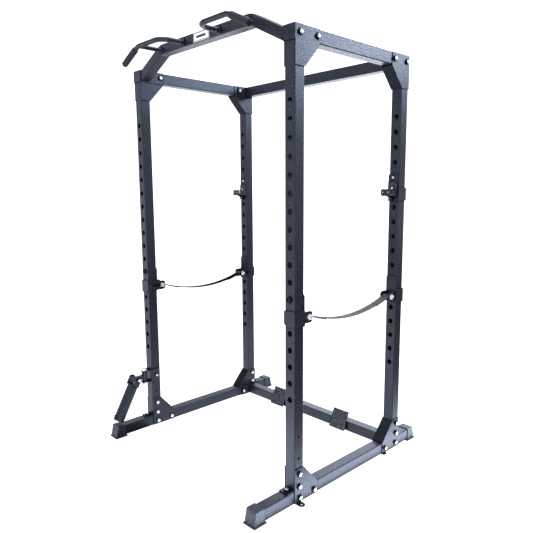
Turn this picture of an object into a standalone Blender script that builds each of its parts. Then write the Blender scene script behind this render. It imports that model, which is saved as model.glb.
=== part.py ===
"""Power cage: a four-post rack with a multi-grip pull-up bar, J-hooks, safety straps and a landmine.

Metres, +Z up. +X is the cage's right side and -Y is its front, where the pull-up bar is.
The origin is on the floor, under the centre of the bounding box.
"""

import math

import bmesh
import bpy
from mathutils import Matrix, Vector

# Driving dimensions
TUBE = 0.054  # square tube of the posts, rails and beams
WALL = 0.0025
SHEET = 0.003  # gusset plate
BRACKET = 0.0035  # bracket plate
CAGE_WIDTH = 1.1492
CAGE_DEPTH = 0.7692
CAGE_HEIGHT = 1.924
FRONT_FOOT = 0.2339  # from the front posts to the front of the soles
REAR_FOOT = 0.1534
SOLE = 0.007  # rail height above the floor
GAP = 0.0003  # between pieces that touch

HOLE_COUNT = 18
HOLE_PITCH = 0.070
TOP_HOLE_Z = 1.649
HOLE_DIAMETER = 0.025
HOLE_SIDES = 10
PIN_DIAMETER = 0.022
JHOOK_HOLE = 5  # counted from the top
STRAP_HOLE = 12

GUSSET_DROP = 0.148
GUSSET_REACH = 0.138
GUSSET_LIP = 0.0545  # plate edge over the post, and over the tube's height at the far end

# Places worked out from them
HALF_WIDTH = CAGE_WIDTH / 2
POST_X = HALF_WIDTH - TUBE / 2
INNER_X = HALF_WIDTH - TUBE
LENGTH = CAGE_DEPTH + FRONT_FOOT + REAR_FOOT
FRONT_Y = -LENGTH / 2 + FRONT_FOOT
REAR_Y = LENGTH / 2 - REAR_FOOT
RAIL_TOP = SOLE + TUBE
PLATE_IN_X = INNER_X - GAP - SHEET  # inner face of the inner gusset plates
JHOOK_Z = TOP_HOLE_Z - (JHOOK_HOLE - 1) * HOLE_PITCH
STRAP_Z = TOP_HOLE_Z - (STRAP_HOLE - 1) * HOLE_PITCH

SIDES = {"left": -1, "right": 1}
ENDS = {"front": -1, "rear": 1}


def clear_scene():
    for obj in list(bpy.data.objects):
        bpy.data.objects.remove(obj, do_unlink=True)


def material(name, colour, roughness, metallic):
    made = bpy.data.materials.new(name)
    made.use_nodes = True
    shader = made.node_tree.nodes["Principled BSDF"]
    shader.inputs["Base Color"].default_value = (*colour, 1.0)
    shader.inputs["Roughness"].default_value = roughness
    shader.inputs["Metallic"].default_value = metallic
    return made


def solid(name, bm):
    """A mesh object made from a bmesh, with its faces pointing out."""
    bmesh.ops.recalc_face_normals(bm, faces=bm.faces)
    mesh = bpy.data.meshes.new(name)
    bm.to_mesh(mesh)
    bm.free()
    obj = bpy.data.objects.new(name, mesh)
    bpy.context.scene.collection.objects.link(obj)
    return obj


def box(x, y, z, name="piece"):
    """A box from (low, high) pairs, in either order."""
    bm = bmesh.new()
    bmesh.ops.create_cube(bm, size=1)
    for vert in bm.verts:
        for axis, span in enumerate((x, y, z)):
            vert.co[axis] = (span[0] + span[1]) / 2 + vert.co[axis] * abs(span[1] - span[0])
    return solid(name, bm)


def prism(outline, axis, span, name="piece"):
    """An outline pushed along an axis. Its pairs are the other two coordinates, in XYZ order."""
    bm = bmesh.new()
    others = [i for i in range(3) if i != axis]
    verts = []
    for pair in outline:
        co = Vector((0, 0, 0))
        co[axis] = span[0]
        co[others[0]], co[others[1]] = pair
        verts.append(bm.verts.new(co))
    face = bm.faces.new(verts)
    pushed = bmesh.ops.extrude_face_region(bm, geom=[face])["geom"]
    shift = Vector((0, 0, 0))
    shift[axis] = span[1] - span[0]
    bmesh.ops.translate(bm, vec=shift, verts=[v for v in pushed if isinstance(v, bmesh.types.BMVert)])
    return solid(name, bm)


def cylinder(centre, axis, length, diameter, sides=16, name="piece"):
    bm = bmesh.new()
    bmesh.ops.create_cone(
        bm, cap_ends=True, segments=sides, radius1=diameter / 2, radius2=diameter / 2, depth=length
    )
    turn = Vector((0, 0, 1)).rotation_difference(Vector(axis)).to_matrix().to_4x4()
    half_facet = Matrix.Rotation(math.pi / sides, 4, "Z")
    bmesh.ops.transform(bm, matrix=Matrix.Translation(centre) @ turn @ half_facet, verts=bm.verts)
    return solid(name, bm)


def combine(obj, others, operation):
    """Joins or cuts the others into obj with exact Booleans, and removes them."""
    for other in others:
        modifier = obj.modifiers.new("combine", "BOOLEAN")
        modifier.operation = operation
        modifier.solver = "EXACT"
        modifier.object = other
    graph = bpy.context.evaluated_depsgraph_get()
    mesh = bpy.data.meshes.new_from_object(obj.evaluated_get(graph))
    obj.modifiers.clear()
    obj.data = mesh
    for other in others:
        bpy.data.objects.remove(other, do_unlink=True)
    return obj


def union(obj, *others):
    return combine(obj, others, "UNION")


def cut(obj, *others):
    return combine(obj, others, "DIFFERENCE")


def node(obj, name, finish, pivot=None):
    """Names a sub-part, and parents a moving one to the empty on its joint's axis."""
    obj.name = name
    obj.data.name = name
    obj.data.materials.clear()
    obj.data.materials.append(finish)
    if pivot is not None:
        obj.parent = pivot
        obj.matrix_parent_inverse = pivot.matrix_world.inverted()
    return obj


def pivot_at(name, place):
    empty = bpy.data.objects.new(name, None)
    empty.location = place
    empty.empty_display_size = 0.05
    bpy.context.scene.collection.objects.link(empty)
    bpy.context.view_layer.update()
    return empty


def square_tube(axis, spans):
    """A hollow tube along one axis, open at both ends."""
    outer = box(*spans)
    inner = []
    for i, (low, high) in enumerate(spans):
        low, high = min(low, high), max(low, high)
        inner.append((low - 0.01, high + 0.01) if i == axis else (low + WALL, high - WALL))
    return cut(outer, box(*inner))


def sorted_span(a, b):
    return (min(a, b), max(a, b))


def post_y(end):
    """(outward face, cage face) of a front or rear post along Y."""
    return (FRONT_Y, FRONT_Y + TUBE) if end < 0 else (REAR_Y, REAR_Y - TUBE)


def make_rail(side):
    end_wall = 0.010
    spans = (
        sorted_span(side * INNER_X, side * HALF_WIDTH),
        (-LENGTH / 2 + end_wall + 0.006, LENGTH / 2 - end_wall - 0.006),
        (SOLE, RAIL_TOP),
    )
    rail = square_tube(1, spans)
    return union(rail, anchor_tab(side, FRONT_Y + 0.022, 0.036), anchor_tab(side, REAR_Y - 0.122, 0.014))


def anchor_tab(side, y, reach):
    """A floor tab with a rounded end, welded under the rail."""
    half = 0.015
    rounding = min(half, reach * 0.9)
    outline = [(side * (HALF_WIDTH - 0.030), y - half)]
    for step in range(7):
        angle = -math.pi / 2 + math.pi * step / 6
        outline.append(
            (
                side * (HALF_WIDTH + reach - rounding + rounding * math.cos(angle)),
                y + half * math.sin(angle),
            )
        )
    outline.append((side * (HALF_WIDTH - 0.030), y + half))
    tab = prism(outline, 2, (SOLE - 0.004, SOLE + 0.001))
    if reach < 2 * half:
        return tab
    hole = cylinder((side * (HALF_WIDTH + reach - half), y, SOLE), (0, 0, 1), 0.02, 0.010, 10)
    return cut(tab, hole)


def make_foot_cap(side, end):
    """A sleeve over the rail's end with a sloped toe and a wider sole."""
    toe = end * LENGTH / 2
    half = TUBE / 2 + 0.003
    top = RAIL_TOP + 0.003
    outline = (
        (toe - end * 0.0035, 0.002),
        (toe - end * 0.006, 0.012),
        (toe - end * 0.017, top),
        (toe - end * 0.061, top),
        (toe - end * 0.061, 0.002),
    )
    centre = side * POST_X
    sleeve = prism(outline, 0, (centre - half, centre + half))
    sole = box((centre - half - 0.004, centre + half + 0.004), (toe, toe - end * 0.068), (0, 0.006))
    pocket = box(
        (centre - TUBE / 2 - GAP, centre + TUBE / 2 + GAP),
        (toe - end * 0.0157, toe - end * 0.090),
        (SOLE - GAP, RAIL_TOP + GAP),
    )
    return cut(union(sleeve, sole), pocket)


def make_post(side, end):
    """A drilled post on a base plate whose tab lies on the rail, outside the cage."""
    outward, inward = post_y(end)
    foot = RAIL_TOP + GAP
    plate_top = foot + 0.004
    spans_x = sorted_span(side * INNER_X, side * HALF_WIDTH)
    tube = square_tube(2, (spans_x, sorted_span(outward, inward), (foot + 0.001, CAGE_HEIGHT)))
    plate = box(spans_x, (outward + end * 0.038, inward), (foot, plate_top))
    drills = [cylinder((side * POST_X, outward + end * 0.020, foot), (0, 0, 1), 0.02, 0.011, 10)]
    middle_y = (outward + inward) / 2
    for index in range(HOLE_COUNT):
        z = TOP_HOLE_Z - index * HOLE_PITCH
        drills.append(
            cylinder((side * POST_X, middle_y, z), (0, 1, 0), TUBE + 0.01, HOLE_DIAMETER, HOLE_SIDES)
        )
    if end < 0:
        for z in LANDMINE_BOLT_ZS:
            drills.append(cylinder((side * POST_X, middle_y, z), (1, 0, 0), TUBE + 0.01, 0.011, 8))
    return cut(union(tube, plate), *drills)


def make_plug(side, end):
    """A plastic plug in the open top of a post."""
    centre = Vector((side * POST_X, sum(post_y(end)) / 2, CAGE_HEIGHT))
    inside = TUBE / 2 - WALL - GAP
    rim = TUBE / 2 - 0.001
    stem = box(
        (centre.x - inside, centre.x + inside),
        (centre.y - inside, centre.y + inside),
        (centre.z - 0.012, centre.z + 0.001),
    )
    lid = box(
        (centre.x - rim, centre.x + rim),
        (centre.y - rim, centre.y + rim),
        (centre.z + GAP, centre.z + 0.0025),
    )
    return union(stem, lid)


def make_gusset(side, end, top):
    """Two plates either side of the corner, joined by a web along their sloping edge."""
    outward, _ = post_y(end)
    corner_z = CAGE_HEIGHT if top else SOLE + 0.001 + GAP
    far_z = RAIL_TOP + 0.097 if not top else CAGE_HEIGHT - GUSSET_DROP
    low_edge_z = RAIL_TOP + 0.003 if not top else CAGE_HEIGHT - TUBE - 0.005

    def at(reach, z):
        return (outward - end * reach, z)

    plate = (
        at(0, corner_z),
        at(0, far_z),
        at(GUSSET_LIP, far_z),
        at(GUSSET_REACH, low_edge_z),
        at(GUSSET_REACH, corner_z),
    )
    start = TUBE + GAP
    slope = (low_edge_z - far_z) / (GUSSET_REACH - GUSSET_LIP)
    start_z = far_z + slope * (start - GUSSET_LIP)
    drop = SHEET * math.hypot(1, slope) * (1 if slope > 0 else -1)
    web = (
        at(start, start_z),
        at(GUSSET_REACH, low_edge_z),
        at(GUSSET_REACH - SHEET, low_edge_z - slope * SHEET + drop * 0.999),
        at(start, start_z + drop),
    )
    outer = (side * (HALF_WIDTH + GAP), side * (HALF_WIDTH + GAP + SHEET))
    inner = (side * (INNER_X - GAP), side * PLATE_IN_X)
    across = (side * (PLATE_IN_X + 0.001), side * (HALF_WIDTH + GAP + SHEET - 0.001))
    return union(prism(plate, 0, outer), prism(plate, 0, inner), prism(web, 0, across))


def make_side_beam(side):
    spans = (
        sorted_span(side * INNER_X, side * HALF_WIDTH),
        (FRONT_Y + TUBE + GAP, REAR_Y - TUBE - GAP),
        (CAGE_HEIGHT - TUBE, CAGE_HEIGHT),
    )
    return square_tube(1, spans)


def make_cross_tube(low_z):
    """A tube between the rear corners, with a flange on each end that bolts to the inner gusset plate."""
    end_x = PLATE_IN_X - GAP
    flange = 0.004
    y = (REAR_Y - TUBE, REAR_Y)
    tube = box((-end_x + 0.001, end_x - 0.001), y, (low_z, low_z + TUBE))
    flanges = [
        box((side * end_x, side * (end_x - flange)), (REAR_Y - 0.116, REAR_Y), (low_z, low_z + TUBE))
        for side in SIDES.values()
    ]
    bore = box(
        (-end_x - 0.01, end_x + 0.01), (y[0] + WALL, y[1] - WALL), (low_z + WALL, low_z + TUBE - WALL)
    )
    return cut(union(tube, *flanges), bore)


# Foot plates: leaning treads in front of the rear crossmember
TREAD_X = 0.235
TREAD_WIDTH = 0.104
TREAD_LENGTH = 0.105
TREAD_THICKNESS = 0.0045
TREAD_LEAN = math.radians(25)
TREAD_FOOT = (REAR_Y - 0.0822, 0.013)  # (y, z) of the lower front edge


def tread_point(along, behind):
    """(y, z) on a tread, along it from its lower edge and behind its front face."""
    y, z = TREAD_FOOT
    return (
        y + along * math.sin(TREAD_LEAN) + behind * math.cos(TREAD_LEAN),
        z + along * math.cos(TREAD_LEAN) - behind * math.sin(TREAD_LEAN),
    )


def make_tread(side):
    outline = (
        tread_point(0, 0),
        tread_point(TREAD_LENGTH, 0),
        tread_point(TREAD_LENGTH, TREAD_THICKNESS),
        tread_point(0, TREAD_THICKNESS),
    )
    x = side * TREAD_X
    return prism(outline, 0, (x - TREAD_WIDTH / 2, x + TREAD_WIDTH / 2))


def make_tread_bracket(side):
    """Two side lugs between the tread and the crossmember, on a back strip."""
    behind = TREAD_THICKNESS + GAP
    back = REAR_Y - TUBE - GAP
    low = tread_point(0.006, behind)
    high = tread_point(0.044, behind)
    lug = (low, high, (back, RAIL_TOP - 0.002), (back, low[1]))
    strip = ((back - 0.003, low[1]), (back - 0.003, 0.040), (back, 0.040), (back, low[1]))
    centre = side * TREAD_X
    half = TREAD_WIDTH / 2 - 0.003
    pieces = [prism(lug, 0, (centre + turn * half, centre + turn * (half - 0.004))) for turn in (-1, 1)]
    return union(prism(strip, 0, (centre - half, centre + half)), *pieces)


# Pull-up bar: a bent square tube, rising at both ends from brackets on the front posts
BAR_HEIGHT = 0.046
BAR_LOW_Z = 1.966
BAR_BEND_X = 0.322
BAR_SLOPE = math.radians(26.9)
BAR_END_X = PLATE_IN_X - 2 * GAP - BRACKET + 0.001 - GAP


def bar_outline(inset, reach):
    """The bar's outline in XZ, with its walls moved in by an inset."""
    low = BAR_LOW_Z + inset
    high = BAR_LOW_Z + BAR_HEIGHT - inset
    shift = inset * math.tan(BAR_SLOPE / 2)
    low_x = BAR_BEND_X + shift
    high_x = BAR_BEND_X + BAR_HEIGHT * math.tan(BAR_SLOPE / 2) - shift
    fall = math.tan(BAR_SLOPE)
    right = (
        (low_x, low),
        (reach, low - (reach - low_x) * fall),
        (reach, high - (reach - high_x) * fall),
        (high_x, high),
    )
    left = [(-x, z) for x, z in reversed(right)]
    return [*right, *left]


def make_pullup_bar():
    outer = prism(bar_outline(0, BAR_END_X), 1, (FRONT_Y, FRONT_Y + TUBE))
    inner = prism(bar_outline(WALL, BAR_END_X + 0.02), 1, (FRONT_Y + WALL, FRONT_Y + TUBE - WALL))
    return cut(outer, inner)


def make_pullup_bracket(side):
    """An angle plate over the post's front face and along the inner gusset plate."""
    outer_x = side * (HALF_WIDTH + 0.0035)
    flange_x = side * (BAR_END_X + GAP)
    z = (CAGE_HEIGHT - 0.056, CAGE_HEIGHT)
    front_y = FRONT_Y - GAP
    face = box((flange_x, outer_x), (front_y - BRACKET, front_y), z)
    flange = box((flange_x, side * (PLATE_IN_X - GAP)), (front_y - 0.001, FRONT_Y + 0.1315), z)
    return union(face, flange)


# Pull-up handles: bent round tube in front of the bar, with a brace at its outer bend
HANDLE_DIAMETER = 0.022
HANDLE_WALL = 0.002
HANDLE_Z = 1.984
HANDLE_INNER_X = 0.1315
HANDLE_BEND_X = 0.330
HANDLE_REACH = 0.120  # from the bar's face to the grip's axis
HANDLE_TIP = (0.460, 1.922)  # (x, z)
HANDLE_BEND_RADIUS = 0.055
GRIP_BEND_RADIUS = 0.080
GRIP_LENGTH = 0.118
GRIP_DIAMETER = 0.030


def rounded_path(corners, radii, steps=5):
    """Straight runs through the corners, with an arc of the given radius at each inner one."""
    points = [Vector(corners[0])]
    for before, corner, after, radius in zip(corners, corners[1:], corners[2:], radii):
        corner = Vector(corner)
        back = (Vector(before) - corner).normalized()
        ahead = (Vector(after) - corner).normalized()
        half = back.angle(ahead) / 2
        centre = corner + (back + ahead).normalized() * radius / math.sin(half)
        start = corner + back * radius / math.tan(half) - centre
        finish = corner + ahead * radius / math.tan(half) - centre
        for step in range(steps + 1):
            points.append(centre + start.slerp(finish, step / steps) * radius)
    points.append(Vector(corners[-1]))
    return points


def swept_tube(points, outer, inner, sides):
    """A round tube along a path, open at both ends."""
    bm = bmesh.new()
    rings = []
    up = Vector((0, 0, 1))
    for index, point in enumerate(points):
        before = points[max(index - 1, 0)]
        after = points[min(index + 1, len(points) - 1)]
        along = (after - before).normalized()
        across = along.cross(up).normalized()
        normal = across.cross(along)
        pair = []
        for radius in (outer, inner):
            ring = []
            for side in range(sides):
                angle = 2 * math.pi * side / sides
                spoke = math.cos(angle) * across + math.sin(angle) * normal
                ring.append(bm.verts.new(point + radius * spoke))
            pair.append(ring)
        rings.append(pair)
    for here, there in zip(rings, rings[1:]):
        for layer in (0, 1):
            for side in range(sides):
                near = (here[layer][side], here[layer][side - 1])
                far = (there[layer][side - 1], there[layer][side])
                bm.faces.new(near + far)
    for pair in (rings[0], rings[-1]):
        for side in range(sides):
            bm.faces.new((pair[0][side], pair[0][side - 1], pair[1][side - 1], pair[1][side]))
    return solid("piece", bm)


def handle_corners(side):
    y = FRONT_Y - HANDLE_REACH
    return (
        (side * HANDLE_INNER_X, FRONT_Y - GAP, HANDLE_Z),
        (side * HANDLE_INNER_X, y, HANDLE_Z),
        (side * HANDLE_BEND_X, y, HANDLE_Z),
        (side * HANDLE_TIP[0], y, HANDLE_TIP[1]),
    )


def make_handle(side):
    corners = handle_corners(side)
    path = rounded_path(corners, (HANDLE_BEND_RADIUS, GRIP_BEND_RADIUS))
    tube = swept_tube(path, HANDLE_DIAMETER / 2, HANDLE_DIAMETER / 2 - HANDLE_WALL, 12)
    brace_x = side * (HANDLE_BEND_X - 0.010)
    length = HANDLE_REACH - 0.006 - GAP
    brace = cylinder((brace_x, FRONT_Y - GAP - length / 2, HANDLE_Z), (0, 1, 0), length, 0.020, 12)
    collar = cylinder((brace_x, FRONT_Y - GAP - 0.008, HANDLE_Z), (0, 1, 0), 0.016, 0.027, 12)
    ring = cylinder((side * HANDLE_INNER_X, FRONT_Y - GAP - 0.005, HANDLE_Z), (0, 1, 0), 0.010, 0.032, 12)
    bore_diameter = HANDLE_DIAMETER - HANDLE_WALL
    bore = cylinder((side * HANDLE_INNER_X, FRONT_Y - 0.005, HANDLE_Z), (0, 1, 0), 0.03, bore_diameter, 12)
    return union(tube, brace, collar, cut(ring, bore))


def make_grip_cap(side):
    """A plug with a rounded head in the open end of a handle."""
    corners = [Vector(corner) for corner in handle_corners(side)]
    along = (corners[3] - corners[2]).normalized()
    stem_radius = HANDLE_DIAMETER / 2 - HANDLE_WALL - 0.0006
    stem = cylinder(corners[3] - along * 0.005, along, 0.014, 2 * stem_radius, 12)
    head = cylinder(corners[3] + along * (GAP + 0.002), along, 0.004, HANDLE_DIAMETER, 12)
    return union(stem, head)


def make_handle_grip(side):
    """A rubber sleeve on the sloping end of a handle."""
    corners = [Vector(corner) for corner in handle_corners(side)]
    along = (corners[3] - corners[2]).normalized()
    centre = corners[3] - along * (0.002 + GRIP_LENGTH / 2)
    sleeve = cylinder(centre, along, GRIP_LENGTH, GRIP_DIAMETER, 14)
    return cut(sleeve, cylinder(centre, along, GRIP_LENGTH + 0.02, HANDLE_DIAMETER + 4 * GAP, 14))


def make_label_plate():
    y = FRONT_Y - GAP
    return box((-0.0515, 0.0615), (y - 0.002, y), (BAR_LOW_Z + 0.003, BAR_LOW_Z + BAR_HEIGHT - 0.004))


# J-hooks on the cage face of the rear posts
JHOOK_PLATE_Z = (JHOOK_Z - 0.111, JHOOK_Z + 0.017)
WRAP_Z = (JHOOK_Z - 0.109, JHOOK_Z - 0.048)
SADDLE_Z = JHOOK_Z - 0.083
SADDLE_REACH = 0.0614
LIP_TOP_Z = JHOOK_Z - 0.056


def wrap_plates(side, outward, inward, end, z, back_reach):
    """A web on the post's outer side and a plate that turns in behind it."""
    outer = HALF_WIDTH + GAP + BRACKET
    web = box(
        (side * (HALF_WIDTH + GAP), side * outer),
        (outward + end * (GAP + BRACKET), inward - end * (GAP + BRACKET)),
        z,
    )
    y = (outward + end * GAP, outward + end * (GAP + BRACKET))
    bevel = 0.014
    inner = side * (HALF_WIDTH - back_reach)
    outline = (
        (side * outer, z[0]),
        (side * outer, z[1]),
        (inner, z[1]),
        (inner, z[0] + bevel),
        (inner + side * bevel, z[0]),
    )
    return [web, prism(outline, 1, y)]


def post_pin(side, outward, inward, end, z):
    """The locating pin, from the bracket's plate to just beyond the post's far face."""
    start = inward - end * (GAP + BRACKET / 2)
    finish = outward + end * 0.004
    return cylinder(
        (side * POST_X, (start + finish) / 2, z), (0, 1, 0), abs(finish - start), PIN_DIAMETER, 12
    )


def make_jhook(side):
    outward, inward = post_y(1)
    face = inward - GAP
    plate_x = (side * (INNER_X - 0.0025), side * (HALF_WIDTH - 0.0055))
    low, high = JHOOK_PLATE_Z
    outer = side * (HALF_WIDTH + GAP + BRACKET)
    outline = (
        (plate_x[0], low),
        (plate_x[0], high),
        (plate_x[1], high),
        (plate_x[1], WRAP_Z[1]),
        (outer, WRAP_Z[1]),
        (outer, low),
    )
    plate = prism(outline, 1, (face - BRACKET, face))
    front = face - BRACKET - SADDLE_REACH
    saddle = box(plate_x, (front, face - 0.001), (SADDLE_Z - BRACKET, SADDLE_Z))
    bevel = 0.009
    lip_outline = (
        (plate_x[0] + side * bevel, SADDLE_Z - BRACKET),
        (plate_x[0], SADDLE_Z - BRACKET + bevel),
        (plate_x[0], LIP_TOP_Z),
        (plate_x[1], LIP_TOP_Z),
        (plate_x[1], SADDLE_Z - BRACKET),
    )
    lip = prism(lip_outline, 1, (front, front + BRACKET))
    brace_outline = (
        (face - 0.001, SADDLE_Z - 0.001),
        (front + 0.012, SADDLE_Z - 0.001),
        (front + 0.012, SADDLE_Z - BRACKET),
        (face - BRACKET, low),
        (face - 0.001, low),
    )
    centre = side * (POST_X - 0.004)
    brace = prism(brace_outline, 0, (centre - 0.004, centre + 0.004))
    wraps = wrap_plates(side, outward, inward, 1, WRAP_Z, 0.036)
    return union(plate, saddle, lip, brace, *wraps, post_pin(side, outward, inward, 1, JHOOK_Z))


def make_jhook_liner(side):
    """The plastic liner in the hook, up its back, along its saddle and up its lip."""
    back = post_y(1)[1] - GAP - BRACKET - GAP
    front = back + GAP - SADDLE_REACH + BRACKET + GAP
    floor = SADDLE_Z + GAP
    thick = 0.006
    outline = (
        (back, floor),
        (back, JHOOK_Z - 0.022),
        (back - thick, JHOOK_Z - 0.022),
        (back - thick, floor + thick),
        (front + thick, floor + thick),
        (front + thick, LIP_TOP_Z + 0.002),
        (front, LIP_TOP_Z + 0.002),
        (front, floor),
    )
    x = (side * (INNER_X - 0.0005), side * (HALF_WIDTH - 0.0075))
    return prism(outline, 0, x)


# Safety straps between the front and rear posts
STRAP_PLATE_Z = (STRAP_Z - 0.109, STRAP_Z + 0.017)
STRAP_WRAP_Z = (STRAP_Z - 0.114, STRAP_Z - 0.048)
STRAP_BOLT_Z = STRAP_Z - 0.081
STRAP_BOLT_OUT = 0.0365  # from the post's cage face
CLEVIS_INNER = 0.0215
CLEVIS_REACH = 0.0545
STRAP_WIDTH = 0.041
STRAP_THICKNESS = 0.004
STRAP_SAG = 0.046
STRAP_LOOP = 0.0105  # outer radius of the loop round the bolt
BOLT_DIAMETER = 0.012


def strap_bolt_y(end):
    return post_y(end)[1] - end * STRAP_BOLT_OUT


def make_strap_bracket(side, end):
    outward, inward = post_y(end)
    face = inward - end * GAP
    outer = side * (HALF_WIDTH + GAP + BRACKET)
    low, high = STRAP_PLATE_Z
    low = STRAP_WRAP_Z[0]
    outline = (
        (side * INNER_X, low + 0.005),
        (side * INNER_X, high),
        (side * (HALF_WIDTH + 0.0015), high),
        (side * (HALF_WIDTH + 0.0015), STRAP_WRAP_Z[1]),
        (outer, STRAP_WRAP_Z[1]),
        (outer, low),
    )
    plate = prism(outline, 1, (face, face - end * BRACKET))
    ears = []
    radius = 0.014
    tip = inward - end * CLEVIS_REACH
    for turn in (-1, 1):
        top = STRAP_BOLT_Z + 0.024
        bottom = STRAP_BOLT_Z - 0.024
        outline = [(face - end * 0.001, bottom), (face - end * 0.001, top)]
        for centre_z, start in ((top - radius, math.pi / 2), (bottom + radius, 0)):
            for step in range(4):
                angle = start - math.pi / 2 * step / 3
                outline.append(
                    (
                        tip + end * radius - end * radius * math.cos(angle),
                        centre_z + radius * math.sin(angle),
                    )
                )
        ear_x = side * POST_X + turn * CLEVIS_INNER
        ears.append(prism(outline, 0, (ear_x, ear_x + turn * 0.004)))
    wraps = wrap_plates(side, outward, inward, end, STRAP_WRAP_Z, 0.057)
    bracket = union(plate, *ears, *wraps, post_pin(side, outward, inward, end, STRAP_Z))
    hole = cylinder(
        (side * POST_X, strap_bolt_y(end), STRAP_BOLT_Z), (1, 0, 0), 0.08, BOLT_DIAMETER + 0.001, 12
    )
    return cut(bracket, hole)


def make_strap_bolt(side, end):
    """A bolt across the clevis with a hexagon head outside each ear."""
    place = Vector((side * POST_X, strap_bolt_y(end), STRAP_BOLT_Z))
    reach = CLEVIS_INNER + 0.004 + GAP
    shank = cylinder(place, (1, 0, 0), 2 * reach + 0.004, BOLT_DIAMETER, 12)
    heads = [
        cylinder(place + Vector((turn * (reach + 0.0035), 0, 0)), (1, 0, 0), 0.007, 0.019, 6)
        for turn in (-1, 1)
    ]
    return union(shank, *heads)


def make_strap(side):
    """Webbing that hangs between two bolts, with a sewn loop round each."""
    front_y = strap_bolt_y(-1)
    rear_y = strap_bolt_y(1)
    count = 16
    half_span = (rear_y - front_y) / 2
    middle = (front_y + rear_y) / 2
    upper = []
    lower = []
    for index in range(count + 1):
        t = -1 + 2 * index / count
        y = middle + t * half_span
        z = STRAP_BOLT_Z - STRAP_SAG * (1 - t * t)
        slope = 2 * STRAP_SAG * t / half_span
        length = math.hypot(1, slope)
        normal = Vector((-slope / length, 1 / length)) * STRAP_THICKNESS / 2
        upper.append((y + normal.x, z + normal.y))
        lower.append((y - normal.x, z - normal.y))
    span_x = (side * POST_X - STRAP_WIDTH / 2, side * POST_X + STRAP_WIDTH / 2)
    band = prism([*upper, *reversed(lower)], 0, span_x)
    loops = []
    holes = []
    for y in (front_y, rear_y):
        centre = (side * POST_X, y, STRAP_BOLT_Z)
        loops.append(cylinder(centre, (1, 0, 0), STRAP_WIDTH, 2 * STRAP_LOOP, 14))
        holes.append(cylinder(centre, (1, 0, 0), 0.08, BOLT_DIAMETER + 0.001, 12))
    return cut(union(band, *loops), *holes)


# Landmine on the front left post: a swivelling block and a tube that tilts on it
LANDMINE_BOLT_ZS = (0.296, 0.203)
LANDMINE_X = -POST_X
CLAMP_Z = (0.258, 0.332)
SWIVEL_Y = FRONT_Y - 0.0315
BARREL_DIAMETER = 0.028
PITCH_Y = FRONT_Y - 0.0855
PITCH_Z = 0.293
ARM_LEAN = math.radians(28.7)  # from straight down, towards the front
ARM_BORE = 0.052
ARM_DIAMETER = 0.057
ARM_LENGTH = 0.203
ARM_START = 0.034  # from the tilt axis to the tube's top
YOKE_PLATE = 0.005


def arm_point(across, back, along):
    """A point by the landmine tube's axes: across in X, back towards the post, along from the tilt axis."""
    return Vector(
        (
            LANDMINE_X + across,
            PITCH_Y + back * math.cos(ARM_LEAN) - along * math.sin(ARM_LEAN),
            PITCH_Z - back * math.sin(ARM_LEAN) - along * math.cos(ARM_LEAN),
        )
    )


def make_landmine_clamp():
    """An angle plate on the post's front and cage faces, with two ears that hold the upright bolt."""
    side_plate = 0.004
    outer = TUBE / 2 + GAP + side_plate
    front = FRONT_Y - GAP
    face = box((LANDMINE_X - 0.020, LANDMINE_X + outer), (front - BRACKET, front), CLAMP_Z)
    cheek = box(
        (LANDMINE_X + outer - side_plate, LANDMINE_X + outer), (front - 0.001, FRONT_Y + 0.047), CLAMP_Z
    )
    ears = [
        box((LANDMINE_X - 0.0195, LANDMINE_X + 0.0195), (SWIVEL_Y - 0.018, front - 0.001), (z, z + BRACKET))
        for z in (CLAMP_Z[0] + 0.004, CLAMP_Z[1] - 0.004 - BRACKET)
    ]
    clamp = union(face, cheek, *ears)
    swivel_hole = cylinder((LANDMINE_X, SWIVEL_Y, 0.3), (0, 0, 1), 0.2, BOLT_DIAMETER + 0.001, 12)
    bolt_hole = cylinder(
        (LANDMINE_X, FRONT_Y + TUBE / 2, LANDMINE_BOLT_ZS[0]), (1, 0, 0), 0.1, 0.011, 8
    )
    return cut(clamp, swivel_hole, bolt_hole)


def make_landmine_swivel():
    """A barrel on the upright bolt, with an arm to the cross bush that the yoke tilts on."""
    low = CLAMP_Z[0] + 0.004 + BRACKET + 2 * GAP
    high = CLAMP_Z[1] - 0.004 - BRACKET - 2 * GAP
    barrel = cylinder((LANDMINE_X, SWIVEL_Y, (low + high) / 2), (0, 0, 1), high - low, BARREL_DIAMETER, 16)
    arm = box(
        (LANDMINE_X - 0.011, LANDMINE_X + 0.011),
        (PITCH_Y, SWIVEL_Y),
        (PITCH_Z - 0.010, PITCH_Z + 0.010),
    )
    bush = cylinder(
        (LANDMINE_X, PITCH_Y, PITCH_Z), (1, 0, 0), 2 * (ARM_DIAMETER / 2 - 0.001), 0.024, 14
    )
    swivel = union(barrel, arm, bush)
    upright_hole = cylinder((LANDMINE_X, SWIVEL_Y, 0.3), (0, 0, 1), 0.2, BOLT_DIAMETER + 0.001, 12)
    cross_hole = cylinder((LANDMINE_X, PITCH_Y, PITCH_Z), (1, 0, 0), 0.1, BOLT_DIAMETER + 0.001, 12)
    return cut(swivel, upright_hole, cross_hole)


def make_landmine_bolt(place, axis, grip, head_length):
    """A through bolt with a hexagon head and nut outside the grip length."""
    direction = Vector(axis)
    shank = cylinder(place, axis, grip + 2 * GAP + 0.004, BOLT_DIAMETER, 12)
    beyond = grip / 2 + GAP + head_length / 2
    ends = [
        cylinder(Vector(place) + direction * turn * beyond, axis, head_length, 0.020, 6)
        for turn in (-1, 1)
    ]
    return union(shank, *ends)


def arm_prism(outline, across):
    """An outline of (back, along) pairs in the arm's own axes, pushed across it."""
    return prism([arm_point(0, back, along).yz[:] for back, along in outline], 0, across)


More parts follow.
